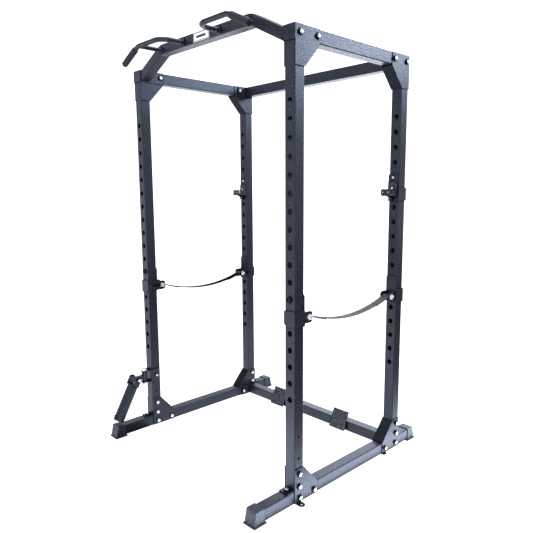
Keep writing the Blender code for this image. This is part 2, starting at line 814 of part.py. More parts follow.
def make_landmine_yoke():
    inner = ARM_DIAMETER / 2 + GAP
    outer = inner + YOKE_PLATE
    front = -0.022
    rounding = 0.017
    outline = [(front, 0.040), (front, -0.006), (front + 0.008, -0.014)]
    for step in range(6):
        angle = math.pi / 2 * step / 5
        outline.append((rounding * math.sin(angle), 0.001 - rounding * math.cos(angle)))
    outline.append((rounding, 0.040))
    ears = [
        arm_prism(outline, (LANDMINE_X + turn * inner, LANDMINE_X + turn * outer)) for turn in (-1, 1)
    ]
    near = front + 0.0005
    far = front + YOKE_PLATE
    web = arm_prism(
        ((near, 0.014), (near, -0.0015), (far, -0.0045), (far, 0.014)),
        (LANDMINE_X - inner - 0.001, LANDMINE_X + inner + 0.001),
    )
    yoke = union(web, *ears)
    return cut(yoke, cylinder((LANDMINE_X, PITCH_Y, PITCH_Z), (1, 0, 0), 0.1, BOLT_DIAMETER + 0.001, 12))


def make_landmine_tube():
    """The sleeve that takes a barbell's end, with a screw boss near its mouth."""
    axis = (arm_point(0, 0, 1) - arm_point(0, 0, 0)).normalized()
    centre = arm_point(0, 0, ARM_START + ARM_LENGTH / 2)
    tube = cylinder(centre, axis, ARM_LENGTH, ARM_DIAMETER, 20)
    boss_axis = arm_point(0, -1, 0) - arm_point(0, 0, 0)
    boss_place = arm_point(0, -ARM_DIAMETER / 2 - 0.001, ARM_START + ARM_LENGTH - 0.016)
    boss = cylinder(boss_place, boss_axis, 0.010, 0.018, 8)
    bore = cylinder(centre, axis, ARM_LENGTH + 0.02, ARM_BORE, 20)
    return cut(union(tube, boss), bore)


def build():
    clear_scene()
    powder = material("black_powder_coat", (0.045, 0.048, 0.062), 0.45, 0.3)
    hardware = material("zinc_plate", (0.72, 0.73, 0.75), 0.28, 1.0)
    plastic = material("black_plastic", (0.020, 0.020, 0.022), 0.6, 0.0)
    rubber = material("tread_rubber", (0.030, 0.030, 0.034), 0.85, 0.0)
    webbing = material("nylon_webbing", (0.018, 0.018, 0.020), 0.8, 0.0)
    blank = material("white_label", (0.85, 0.85, 0.85), 0.4, 0.0)

    for side_name, side in SIDES.items():
        node(make_rail(side), f"base_rail_{side_name}", powder)
        node(make_side_beam(side), f"top_beam_{side_name}", powder)
        node(make_tread(side), f"foot_plate_{side_name}", rubber)
        node(make_tread_bracket(side), f"foot_plate_bracket_{side_name}", powder)
        node(make_pullup_bracket(side), f"pullup_bracket_{side_name}", powder)
        node(make_handle(side), f"pullup_handle_{side_name}", powder)
        node(make_grip_cap(side), f"handle_cap_{side_name}", plastic)
        node(make_handle_grip(side), f"handle_grip_{side_name}", rubber)
        for end_name, end in ENDS.items():
            corner = f"{end_name}_{side_name}"
            node(make_post(side, end), f"upright_{corner}", powder)
            node(make_plug(side, end), f"upright_plug_{corner}", plastic)
            node(make_foot_cap(side, end), f"foot_cap_{corner}", plastic)
            node(make_gusset(side, end, False), f"base_gusset_{corner}", powder)
            node(make_gusset(side, end, True), f"top_gusset_{corner}", powder)

        hook_pivot = pivot_at(f"jhook_pivot_{side_name}", (side * POST_X, REAR_Y - TUBE / 2, JHOOK_Z))
        node(make_jhook(side), f"jhook_{side_name}", powder, hook_pivot)
        node(make_jhook_liner(side), f"jhook_liner_{side_name}", plastic, hook_pivot)

        strap_pivot = pivot_at(f"strap_pivot_{side_name}", (side * POST_X, 0, STRAP_Z))
        node(make_strap(side), f"safety_strap_{side_name}", webbing, strap_pivot)
        for end_name, end in ENDS.items():
            corner = f"{end_name}_{side_name}"
            node(make_strap_bracket(side, end), f"strap_bracket_{corner}", powder, strap_pivot)
            node(make_strap_bolt(side, end), f"strap_bolt_{corner}", hardware, strap_pivot)

    node(make_cross_tube(SOLE), "base_crossmember", powder)
    node(make_cross_tube(CAGE_HEIGHT - TUBE), "top_beam_rear", powder)
    node(make_pullup_bar(), "pullup_bar", powder)
    node(make_label_plate(), "label_plate", blank)

    swivel_pivot = pivot_at("landmine_swivel_pivot", (LANDMINE_X, SWIVEL_Y, PITCH_Z))
    tilt_pivot = pivot_at("landmine_tilt_pivot", (LANDMINE_X, PITCH_Y, PITCH_Z))
    tilt_pivot.parent = swivel_pivot
    tilt_pivot.matrix_parent_inverse = swivel_pivot.matrix_world.inverted()
    bpy.context.view_layer.update()
    node(make_landmine_clamp(), "landmine_clamp", powder)
    swivel_bolt = make_landmine_bolt(
        (LANDMINE_X, SWIVEL_Y, sum(CLAMP_Z) / 2), (0, 0, 1), CLAMP_Z[1] - CLAMP_Z[0] - 0.008, 0.008
    )
    node(swivel_bolt, "landmine_swivel_bolt", hardware)
    node(make_landmine_swivel(), "landmine_swivel", powder, swivel_pivot)
    tilt_bolt = make_landmine_bolt(
        (LANDMINE_X, PITCH_Y, PITCH_Z), (1, 0, 0), ARM_DIAMETER + 2 * GAP + 2 * YOKE_PLATE, 0.008
    )
    node(tilt_bolt, "landmine_tilt_bolt", hardware, tilt_pivot)
    node(make_landmine_yoke(), "landmine_yoke", powder, tilt_pivot)
    node(make_landmine_tube(), "landmine_tube", powder, tilt_pivot)


build()
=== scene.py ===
"""Visual model of the power cage: rounded steel tube, bolted corners, woven straps and moulded feet.

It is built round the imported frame, in metres, with +Z up, +X to the cage's right and -Y to its front.
"""

import math

import bmesh
import bpy
from mathutils import Matrix, Vector


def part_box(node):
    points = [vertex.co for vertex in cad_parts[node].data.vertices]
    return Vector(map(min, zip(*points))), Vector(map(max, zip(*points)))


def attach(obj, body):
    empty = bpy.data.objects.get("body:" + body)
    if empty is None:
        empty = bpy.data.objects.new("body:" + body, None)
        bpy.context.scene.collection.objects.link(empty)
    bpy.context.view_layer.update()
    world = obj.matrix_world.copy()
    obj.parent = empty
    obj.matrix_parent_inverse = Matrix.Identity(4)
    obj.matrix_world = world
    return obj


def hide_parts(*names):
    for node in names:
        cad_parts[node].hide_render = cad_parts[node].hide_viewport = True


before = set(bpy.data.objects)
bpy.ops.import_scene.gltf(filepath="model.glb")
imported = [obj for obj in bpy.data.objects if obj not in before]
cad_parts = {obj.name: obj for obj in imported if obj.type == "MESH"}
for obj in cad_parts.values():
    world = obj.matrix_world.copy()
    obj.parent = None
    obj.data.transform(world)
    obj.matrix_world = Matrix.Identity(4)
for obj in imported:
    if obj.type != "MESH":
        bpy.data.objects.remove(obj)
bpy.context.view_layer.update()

# Sizes that the pieces share with the frame
TUBE = 0.054
WALL = 0.0025
CORNER = 0.004  # outside corner radius of the square tube
PLATE = 0.003
BRACKET = 0.0035
GAP = 0.0003
HOLE_COUNT = 18
HOLE_PITCH = 0.070
HOLE_DIAMETER = 0.025

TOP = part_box("upright_front_left")[1][2]
HALF_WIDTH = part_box("top_beam_right")[1][0]
FRONT_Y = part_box("top_gusset_front_left")[0][1]
REAR_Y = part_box("top_gusset_rear_left")[1][1]
RAIL_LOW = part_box("base_crossmember")[0][2]
TOE_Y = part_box("foot_cap_rear_left")[1][1]
RAIL_TOP = RAIL_LOW + TUBE
POST_X = HALF_WIDTH - TUBE / 2
INNER_X = HALF_WIDTH - TUBE
PLATE_IN_X = INNER_X - GAP - PLATE
TOP_HOLE_Z = TOP - 0.275
JHOOK_Z = TOP_HOLE_Z - 4 * HOLE_PITCH
STRAP_Z = TOP_HOLE_Z - 11 * HOLE_PITCH

SIDES = {"left": -1, "right": 1}
ENDS = {"front": -1, "rear": 1}
SMOOTH_UNDER = math.radians(36)


# ---------------------------------------------------------------- materials


def add(mat, kind, inputs=(), **settings):
    """A node with its settings, and its inputs set to values or linked to sockets."""
    made = mat.node_tree.nodes.new(kind)
    for key, value in settings.items():
        setattr(made, key, value)
    for key, value in dict(inputs).items():
        if isinstance(value, bpy.types.NodeSocket):
            mat.node_tree.links.new(value, made.inputs[key])
        else:
            made.inputs[key].default_value = value
    return made


def noise(mat, where, scale, detail=2.0, rough=0.5):
    inputs = {"Vector": where, "Scale": scale, "Detail": detail, "Roughness": rough}
    return add(mat, "ShaderNodeTexNoise", inputs).outputs["Fac"]


def span(mat, value, low, high, out_low=0.0, out_high=1.0):
    inputs = {"Value": value, "From Min": low, "From Max": high, "To Min": out_low, "To Max": out_high}
    return add(mat, "ShaderNodeMapRange", inputs).outputs["Result"]


def mixed(mat, factor, first, second, **settings):
    made = add(mat, "ShaderNodeMix", data_type="RGBA", **settings)
    for index, value in ((0, factor), (6, first), (7, second)):
        if isinstance(value, bpy.types.NodeSocket):
            mat.node_tree.links.new(value, made.inputs[index])
        else:
            made.inputs[index].default_value = value if index == 0 else (*value, 1.0)
    return made.outputs[2]


def math_node(mat, operation, first, second=0.0):
    return add(mat, "ShaderNodeMath", {0: first, 1: second}, operation=operation).outputs[0]


def bumped(mat, height, strength, distance, under=None):
    inputs = {"Height": height, "Strength": strength, "Distance": distance}
    if under is not None:
        inputs["Normal"] = under
    return add(mat, "ShaderNodeBump", inputs).outputs["Normal"]


def material(name, metallic=0.0, **sockets):
    made = bpy.data.materials.new(name)
    made.use_nodes = True
    shader = made.node_tree.nodes["Principled BSDF"]
    shader.inputs["Metallic"].default_value = metallic
    for key, value in sockets.items():
        shader.inputs[key.replace("_", " ")].default_value = value
    return made, add(made, "ShaderNodeTexCoord").outputs["Object"]


def wire(mat, **sockets):
    shader = mat.node_tree.nodes["Principled BSDF"]
    for key, value in sockets.items():
        mat.node_tree.links.new(value, shader.inputs[key.replace("_", " ")])
    return mat


COOL = (0.64, 0.75, 1.0, 1.0)


def painted_seam_shade(mat):
    """Painted shade: 0 in the joints between plates and tubes, blacked by ambient occlusion as their shadow,
    and 1 on open faces.
    """
    made = add(mat, "ShaderNodeAmbientOcclusion", {"Distance": 0.010}, samples=12)
    return span(mat, made.outputs["AO"], 0.74, 0.97)


def powder_coat():
    """Textured black powder coat with a blue cast and fine metallic flakes."""
    mat, where = material("powder_coat", 0.20, Specular_Tint=COOL)
    broad = noise(mat, where, 6.0, 3.0)
    base = mixed(mat, broad, (0.0098, 0.0110, 0.0172), (0.0160, 0.0178, 0.0280))
    flakes = span(mat, noise(mat, where, 300.0, 1.0), 0.60, 0.68)
    colour = mixed(mat, math_node(mat, "MULTIPLY", flakes, 0.35), base, (0.12, 0.14, 0.20))
    peel = noise(mat, where, 210.0, 2.0)
    grain = noise(mat, where, 1300.0, 2.0)
    normal = bumped(mat, grain, 0.14, 0.0002, bumped(mat, peel, 0.11, 0.0006))
    rough = span(mat, noise(mat, where, 190.0, 1.0), 0.35, 0.65, 0.27, 0.40)
    unshaded = painted_seam_shade(mat)
    return wire(
        mat,
        # Painted shade: the coat turns black, and rougher, in the joints.
        Base_Color=mixed(mat, unshaded, (0.0, 0.0, 0.0), colour),
        Roughness=math_node(mat, "MAXIMUM", rough, math_node(mat, "SUBTRACT", 1.0, unshaded)),
        Normal=normal,
    )


def coat(name, metallic, cloud, dark, light, rough, grain, bump, **sockets):
    """A plain finish from two noises, each (scale, detail), and a bump of (strength, distance)."""
    mat, where = material(name, metallic, **sockets)
    broad = noise(mat, where, *cloud)
    return wire(
        mat,
        Base_Color=mixed(mat, broad, dark, light),
        Roughness=span(mat, broad, 0.3, 0.7, *rough),
        Normal=bumped(mat, noise(mat, where, *grain), *bump),
    )


def moulded(name, dark, light, grain_scale, strength, rough, speckle=0.0):
    """Moulded plastic or rubber with a leathery grain, and lighter specks at random if asked."""
    mat, where = material(name, 0.0, Specular_Tint=COOL)
    cells = add(mat, "ShaderNodeTexVoronoi", {"Vector": where, "Scale": grain_scale}).outputs["Distance"]
    broad = noise(mat, where, 20.0, 4.0)
    colour = mixed(mat, broad, dark, light)
    if speckle:
        specks = span(mat, noise(mat, where, 170.0, 2.0), 0.56, 0.64, 0.0, speckle)
        colour = mixed(mat, specks, colour, (0.30, 0.32, 0.38))
    fine = noise(mat, where, grain_scale * 2.5, 2.0)
    normal = bumped(mat, fine, strength * 0.5, 0.0002, bumped(mat, cells, strength, 0.0004))
    roughness = span(mat, broad, 0.3, 0.7, rough - 0.06, rough + 0.08)
    return wire(mat, Base_Color=colour, Roughness=roughness, Normal=normal)


def webbing():
    """Tightly woven nylon: ribs across the strap crossed by fine warp threads."""
    mat, where = material("nylon_webbing", 0.0, Sheen_Weight=0.25, Sheen_Roughness=0.4)
    ribs = []
    for scale, along in ((190.0, "Y"), (240.0, "X")):
        wave = add(mat, "ShaderNodeTexWave", {"Vector": where, "Scale": scale}, bands_direction=along)
        ribs.append(wave.outputs["Fac"])
    weave = math_node(mat, "MULTIPLY", *ribs)
    fuzz = noise(mat, where, 900.0, 3.0)
    colour = mixed(mat, weave, (0.018, 0.018, 0.028), (0.052, 0.053, 0.078))
    colour = mixed(mat, span(mat, fuzz, 0.55, 0.8, 0.0, 0.4), colour, (0.085, 0.087, 0.125))
    normal = bumped(mat, fuzz, 0.15, 0.0002, bumped(mat, weave, 0.6, 0.0006))
    rough = span(mat, fuzz, 0.3, 0.7, 0.62, 0.85)
    return wire(mat, Base_Color=colour, Roughness=rough, Normal=normal)


def thread():
    mat, where = material("sewing_thread", 0.0, Sheen_Weight=0.2)
    twist = noise(mat, where, 2500.0, 2.0)
    colour = mixed(mat, twist, (0.07, 0.07, 0.08), (0.13, 0.13, 0.14))
    return wire(mat, Base_Color=colour, Roughness=span(mat, twist, 0.3, 0.7, 0.5, 0.7))


def printed(name, dark, light, rough):
    mat, where = material(name)
    cloud = noise(mat, where, 60.0, 3.0)
    fine = noise(mat, where, 700.0, 2.0)
    return wire(
        mat,
        Base_Color=mixed(mat, cloud, dark, light),
        Roughness=span(mat, fine, 0.3, 0.7, rough - 0.05, rough + 0.05),
        Normal=bumped(mat, fine, 0.05, 0.0001),
    )


def floor_paper():
    """White paper under studio light, glowing a little so that it burns out as in a product shot."""
    mat, where = material("studio_floor", 0.0, Emission_Strength=1.6)
    fibre = noise(mat, where, 30.0, 4.0)
    paper = mixed(mat, fibre, (0.93, 0.93, 0.93), (0.95, 0.95, 0.95))
    shade = mixed(mat, fibre, (0.10, 0.10, 0.10), (0.12, 0.12, 0.12))
    return wire(mat, Base_Color=shade, Emission_Color=paper, Roughness=span(mat, fibre, 0, 1, 0.8, 0.95))


POWDER = powder_coat()
# Zinc for bolts, enamel for the handles' braces and collars, and black oxide for pins and caps; its black is
# also painted shade on washers and the sides of bolt heads
ZINC = coat(
    "zinc_plate",
    0.55,
    (140, 3),
    (0.74, 0.77, 0.83),
    (0.88, 0.87, 0.85),
    (0.20, 0.32),
    (1800, 2),
    (0.12, 0.0001),
)
GLOSS = coat(
    "gloss_black",
    0.0,
    (9, 3),
    (0.006, 0.0065, 0.009),
    (0.010, 0.011, 0.015),
    (0.16, 0.24),
    (260, 1),
    (0.06, 0.0003),
    Specular_Tint=COOL,
)
OXIDE_AND_SHADE = coat(
    "black_oxide_and_shade",
    0.6,
    (110, 3),
    (0.006, 0.006, 0.008),
    (0.016, 0.017, 0.022),
    (0.28, 0.45),
    (110, 3),
    (0.1, 0.0001),
    Specular_Tint=COOL,
)
PLASTIC = moulded("black_plastic", (0.010, 0.011, 0.015), (0.019, 0.021, 0.029), 330.0, 0.45, 0.42, 0.25)
TREAD = moulded("tread_rubber", (0.022, 0.024, 0.030), (0.042, 0.045, 0.056), 260.0, 0.6, 0.55, 0.55)
GRIP = moulded("grip_rubber", (0.009, 0.010, 0.013), (0.017, 0.018, 0.024), 400.0, 0.5, 0.60)
WEBBING = webbing()
THREAD = thread()
LABEL = printed("white_label", (0.86, 0.86, 0.87), (0.92, 0.92, 0.92), 0.35)
INK = printed("etched_number", (0.05, 0.055, 0.07), (0.08, 0.085, 0.10), 0.5)


# ---------------------------------------------------------------- mesh tools


def solid(bm):
    bmesh.ops.recalc_face_normals(bm, faces=bm.faces)
    mesh = bpy.data.meshes.new("piece")
    bm.to_mesh(mesh)
    bm.free()
    made = bpy.data.objects.new("piece", mesh)
    bpy.context.scene.collection.objects.link(made)
    return made


def bridge(bm, rings):
    for here, there in zip(rings, rings[1:]):
        for i in range(len(here)):
            bm.faces.new((here[i], here[i - 1], there[i - 1], there[i]))


def skin(bm, rings):
    """A closed skin over rings of points, from one end to the other."""
    made = [[bm.verts.new(p) for p in ring] for ring in rings]
    bridge(bm, made)
    bm.faces.new(made[0])
    bm.faces.new(made[-1])


def placed(axis, along, pair):
    """The point at a distance along an axis, with the pair as its other two coordinates in XYZ order."""
    point = list(pair)
    point.insert(axis, along)
    return Vector(point)


def prism(outline, axis, along):
    """An outline of pairs pushed along an axis, from along[0] to along[1]."""
    bm = bmesh.new()
    face = bm.faces.new([bm.verts.new(placed(axis, along[0], pair)) for pair in outline])
    pushed = bmesh.ops.extrude_face_region(bm, geom=[face])["geom"]
    shift = placed(axis, along[1] - along[0], (0, 0))
    bmesh.ops.translate(bm, vec=shift, verts=[v for v in pushed if isinstance(v, bmesh.types.BMVert)])
    return solid(bm)


def box(x, y, z):
    return prism(((x[0], y[0]), (x[1], y[0]), (x[1], y[1]), (x[0], y[1])), 2, z)


def arc(centre, radii, start, sweep, steps):
    """Points on an arc, or on part of an ellipse. Its angles are in degrees."""
    angles = [math.radians(start + sweep * step / steps) for step in range(steps + 1)]
    return [(centre[0] + radii[0] * math.cos(a), centre[1] + radii[1] * math.sin(a)) for a in angles]


def rounded(width, height, radius, steps=4, middle=(0, 0)):
    """A rounded rectangle's outline, anticlockwise about its middle."""
    a = width / 2 - radius
    b = height / 2 - radius
    points = []
    for quarter, (x, y) in enumerate(((a, b), (-a, b), (-a, -b), (a, -b))):
        points += arc((middle[0] + x, middle[1] + y), (radius, radius), 90 * quarter, 90, steps)
    return points


def rings_to_solid(layers):
    """A hollow solid, open at both ends, from its outer rings and its inner rings."""
    bm = bmesh.new()
    outer, inner = [[[bm.verts.new(p) for p in ring] for ring in layer] for layer in layers]
    bridge(bm, outer)
    bridge(bm, inner)
    for end in (0, -1):
        bridge(bm, (outer[end], inner[end]))
    return solid(bm)


def frames_along(points, up):
    """(point, across, normal, stretch) for a sweep, mitred at each bend."""
    for index, point in enumerate(points):
        before = (point - points[index - 1]).normalized() if index else None
        after = (points[index + 1] - point).normalized() if index + 1 < len(points) else None
        before = before or after
        after = after or before
        along = (before + after).normalized()
        stretch = 1 / max(along.dot(after), 0.5)
        across = along.cross(up).normalized()
        yield point, across, across.cross(along), stretch


def swept(points, outer, inner, up=(0, 0, 1), mitre_across=False):
    """A hollow tube whose outlines, given as (across, normal) pairs, follow a path."""
    layers = [[], []]
    for point, across, normal, stretch in frames_along(points, Vector(up)):
        wide = stretch if mitre_across else 1
        tall = 1 if mitre_across else stretch
        for layer, outline in zip(layers, (outer, inner)):
            layer.append([point + across * a * wide + normal * n * tall for a, n in outline])
    return rings_to_solid(layers)


def circle(diameter, sides):
    return arc((0, 0), (diameter / 2, diameter / 2), 0, 360, sides)[:-1]


def lathe(profile, place, axis, sides=24):
    """A turned solid: profile holds (distance along the axis, radius), from end to end."""
    bm = bmesh.new()
    turn = Vector((0, 0, 1)).rotation_difference(Vector(axis)).to_matrix()
    rings = []
    for along, radius in profile:
        rings.append([turn @ Vector((x, y, along)) + Vector(place) for x, y in circle(2 * radius, sides)])
    skin(bm, rings)
    return solid(bm)


def rod(start, end, diameter, chamfer=0.0006, sides=24):
    start = Vector(start)
    length = (Vector(end) - start).length
    r = diameter / 2
    profile = ((0, r - chamfer), (chamfer, r), (length - chamfer, r), (length, r - chamfer))
    return lathe(profile, start, Vector(end) - start, sides)


def cross_rod(place, half, diameter, chamfer=0.0006, sides=24):
    """A rod along X, out to half on each side of a place."""
    reach = Vector((half, 0, 0))
    return rod(Vector(place) - reach, Vector(place) + reach, diameter, chamfer, sides)


def pipe(axis, spans, radius=CORNER, wall=WALL):
    """A rounded square tube along X, Y or Z, open at both ends."""
    a, b = [spans[i] for i in range(3) if i != axis]
    width = abs(a[1] - a[0])
    height = abs(b[1] - b[0])
    layers = []
    for inset in (0, wall):
        size = (width - 2 * inset, height - 2 * inset, radius - inset)
        outline = rounded(*size, middle=(sum(a) / 2, sum(b) / 2))
        layers.append([[placed(axis, end, pair) for pair in outline] for end in spans[axis]])
    return rings_to_solid(layers)


def joined(objects):
    """One mesh holding several solids as they are."""
    bm = bmesh.new()
    for obj in objects:
        bm.from_mesh(obj.data)
        bpy.data.objects.remove(obj, do_unlink=True)
    return solid(bm)


def combine(obj, other, operation):
    modifier = obj.modifiers.new("combine", "BOOLEAN")
    modifier.operation = operation
    modifier.solver = "EXACT"
    modifier.object = other
    graph = bpy.context.evaluated_depsgraph_get()
    mesh = bpy.data.meshes.new_from_object(obj.evaluated_get(graph))
    obj.modifiers.clear()
    obj.data = mesh
    bpy.data.objects.remove(other, do_unlink=True)
    return obj


def union(obj, *others):
    for other in others:
        obj = combine(obj, other, "UNION")
    return obj


def cut(obj, *others):
    return combine(obj, joined(others), "DIFFERENCE")


def drill(place, axis, depth, diameter, lip=0.0007, sides=32):
    """A cutter for a hole through a piece depth thick about place, with a broken edge on each face."""
    far, near = depth / 2 + 0.002, depth / 2 - lip
    wide, r = diameter / 2 + lip + 0.002, diameter / 2
    return lathe(((-far, wide), (-near, r), (near, r), (far, wide)), place, axis, sides)


def piece(obj, name, mat, body="frame", bevel=0.0, stands_for=()):
    """Names a piece, finishes its edges and normals, and gives it its material and body."""
    obj.name = name
    obj.data.name = name
    obj.data.materials.clear()
    obj.data.materials.append(mat)
    for polygon in obj.data.polygons:
        polygon.use_smooth = True
        polygon.material_index = 0
    if bevel:
        made = obj.modifiers.new("edges", "BEVEL")
        made.width = bevel
        made.segments = 2
        made.limit_method = "ANGLE"
        made.angle_limit = SMOOTH_UNDER
        made.harden_normals = False
        made.use_clamp_overlap = True
    else:
        obj.data.set_sharp_from_angle(angle=SMOOTH_UNDER)
    weighted = obj.modifiers.new("shading", "WEIGHTED_NORMAL")
    weighted.keep_sharp = True
    weighted.weight = 80
    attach(obj, body)
    if stands_for:
        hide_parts(*stands_for)
    return obj


# ---------------------------------------------------------------- fasteners


def hexagon(place, axis, across, height):
    """A hexagon head or nut with a chamfered top."""
    r = across / 0.866 / 2
    return lathe(((0, r), (height * 0.80, r), (height, r * 0.86)), place, axis, 6)


def bolt_head(place, axis, size=0.0110):
    """(dark, bright): a washer and hexagon, painted black as shade round the head and on its sides, and the
    lit domed face of the head.
    """
    place = Vector(place)
    axis = Vector(axis)
    washer = rod(place, place + axis * 0.0020, size * 2.25, 0.0004)
    head = hexagon(place + axis * 0.0019, axis, size * 1.72, size * 0.62)
    dome = ((0.05, 0.76), (0.15, 0.62), (0.20, 0.30))
    profile = [(-0.0008, size * 0.76)] + [(size * along, size * r) for along, r in dome]
    face = lathe(profile, place + axis * (0.0019 + size * 0.62), axis, 20)
    return [washer, head], [face]


def nut_end(place, axis, size=0.0110):
    """(dark, bright): a washer, painted black as a shadow ring round the nut, and the nut and the end of the
    thread on it.
    """
    place = Vector(place)
    axis = Vector(axis)
    washer = rod(place, place + axis * 0.0020, size * 2.15, 0.0004)
    nut = hexagon(place + axis * 0.0019, axis, size * 1.65, size * 0.80)
    end = rod(place + axis * 0.002, place + axis * (0.002 + size * 1.05), size, 0.0009)
    return [washer], [nut, end]


def fasten(name, fasteners, body="frame", stands_for=(), shank=(), dark_mat=None):
    """One piece for the bright zinc of some fasteners, and one for their darker parts, black as painted
    shade unless dark_mat is given.
    """
    bright = list(shank)
    dark = []
    for under, over in fasteners:
        dark += under
        bright += over
    piece(joined(bright), name, ZINC, body, stands_for=stands_for)
    piece(joined(dark), f"{name}_body", dark_mat or OXIDE_AND_SHADE, body)


def post_y(end):
    """(outward face, cage face) of a front or rear post along Y."""
    return (FRONT_Y, FRONT_Y + TUBE) if end < 0 else (REAR_Y, REAR_Y - TUBE)


def both(side, a, b):
    return tuple(sorted((side * a, side * b)))


# ---------------------------------------------------------------- floor rails and posts


def floor_tab(side, y, reach):
    half = 0.015
    rounding = min(half, reach * 0.9)
    root = side * (HALF_WIDTH - 0.020)
    end = arc((side * (HALF_WIDTH + reach - rounding), y), (side * rounding, half), -90, 180, 12)
    tab = prism([(root, y - half), *end, (root, y + half)], 2, (RAIL_LOW - 0.004, RAIL_LOW + 0.0008))
    if reach > 2 * half:
        hole = drill((side * (HALF_WIDTH + reach - half), y, RAIL_LOW - 0.0016), (0, 0, 1), 0.0048, 0.010)
        tab = cut(tab, hole)
    return tab


def build_rail(side_name, side):
    spans = (both(side, INNER_X, HALF_WIDTH), (-TOE_Y + 0.016, TOE_Y - 0.016), (RAIL_LOW, RAIL_TOP))
    rail = pipe(1, spans)
    piece(rail, f"floor_rail_{side_name}", POWDER, stands_for=[f"base_rail_{side_name}"])
    for end_name, y, reach in (("front", FRONT_Y + 0.022, 0.036), ("rear", REAR_Y - 0.122, 0.014)):
        piece(floor_tab(side, y, reach), f"floor_tab_{end_name}_{side_name}", POWDER, bevel=0.0007)


def build_foot(corner, side, end):
    """A moulded cap over the rail's end, with a sloped toe and a wide sole."""
    toe = end * TOE_Y
    half = TUBE / 2 + 0.003
    top = RAIL_TOP + 0.003
    outline = (
        (toe - end * 0.0035, 0.002),
        (toe - end * 0.006, 0.012),
        (toe - end * 0.017, top),
        (toe - end * 0.061, top),
        (toe - end * 0.061, 0.002),
    )
    x = side * POST_X
    sleeve = prism(outline, 0, (x - half, x + half))
    wide = half + 0.004
    sole = box((x - wide, x + wide), sorted((toe, toe - end * 0.068)), (0, 0.006))
    pocket = box(
        (x - TUBE / 2 - GAP, x + TUBE / 2 + GAP),
        sorted((toe - end * 0.0157, toe - end * 0.090)),
        (RAIL_LOW - GAP, RAIL_TOP + GAP),
    )
    cap = cut(union(sleeve, sole), pocket)
    piece(cap, f"foot_{corner}", PLASTIC, bevel=0.0018, stands_for=[f"foot_cap_{corner}"])


def number_marks(post_name, side, face_y):
    """Small etched hole numbers between the holes of a post."""
    bm = bmesh.new()
    for index in range(HOLE_COUNT):
        text = bpy.data.curves.new("number", "FONT")
        text.body = str(HOLE_COUNT - index)
        text.size = 0.011
        text.align_x = "CENTER"
        text.align_y = "CENTER"
        text.resolution_u = 2
        text.extrude = 0.00012
        holder = bpy.data.objects.new("number", text)
        bpy.context.scene.collection.objects.link(holder)
        graph = bpy.context.evaluated_depsgraph_get()
        mesh = bpy.data.meshes.new_from_object(holder.evaluated_get(graph))
        z = TOP_HOLE_Z - (index + 0.5) * HOLE_PITCH
        place = Matrix.Translation((side * POST_X, face_y - 0.00008, z))
        mesh.transform(place @ Matrix.Rotation(math.pi / 2, 4, "X"))
        bm.from_mesh(mesh)
        bpy.data.objects.remove(holder, do_unlink=True)
    mesh = bpy.data.meshes.new("numbers")
    bm.to_mesh(mesh)
    bm.free()
    made = bpy.data.objects.new("numbers", mesh)
    bpy.context.scene.collection.objects.link(made)
    piece(made, f"hole_numbers_{post_name}", INK)


def build_post(corner, side, end):
    outward, inward = post_y(end)
    foot = RAIL_TOP + GAP
    x = both(side, INNER_X, HALF_WIDTH)
    y = tuple(sorted((outward, inward)))
    middle_y = sum(y) / 2
    tube = pipe(2, (x, y, (foot + 0.0035, TOP)))
    holes = []
    for index in range(HOLE_COUNT):
        place = (side * POST_X, middle_y, TOP_HOLE_Z - index * HOLE_PITCH)
        holes.append(drill(place, (0, 1, 0), TUBE, HOLE_DIAMETER))
    if end < 0:
        for z in (0.296, 0.203):
            holes.append(drill((side * POST_X, middle_y, z), (1, 0, 0), TUBE, 0.011, 0.0004, 20))
    tube = cut(tube, *holes)
    piece(tube, f"post_{corner}", POWDER, stands_for=[f"upright_{corner}"])
    number_marks(corner, side, min(y))

    plate_y = tuple(sorted((outward + end * 0.038, inward)))
    plate = box(x, plate_y, (foot, foot + 0.004))
    hole = drill((side * POST_X, outward + end * 0.020, foot + 0.002), (0, 0, 1), 0.004, 0.011, 0.0003, 20)
    piece(cut(plate, hole), f"post_foot_{corner}", POWDER, bevel=0.0008)
    bolt = bolt_head((side * POST_X, outward + end * 0.020, foot + 0.004), (0, 0, 1))
    fasten(f"post_foot_bolt_{corner}", [bolt])

    middle = (side * POST_X, middle_y)
    rim = rounded(TUBE - 0.002, TUBE - 0.002, CORNER - 0.001, middle=middle)
    bore = TUBE - 2 * WALL - 0.0008
    stem = rounded(bore, bore, CORNER - WALL, middle=middle)
    plug = union(prism(rim, 2, (TOP + GAP, TOP + 0.0025)), prism(stem, 2, (TOP - 0.012, TOP + 0.001)))
    piece(plug, f"post_plug_{corner}", PLASTIC, bevel=0.0007, stands_for=[f"upright_plug_{corner}"])


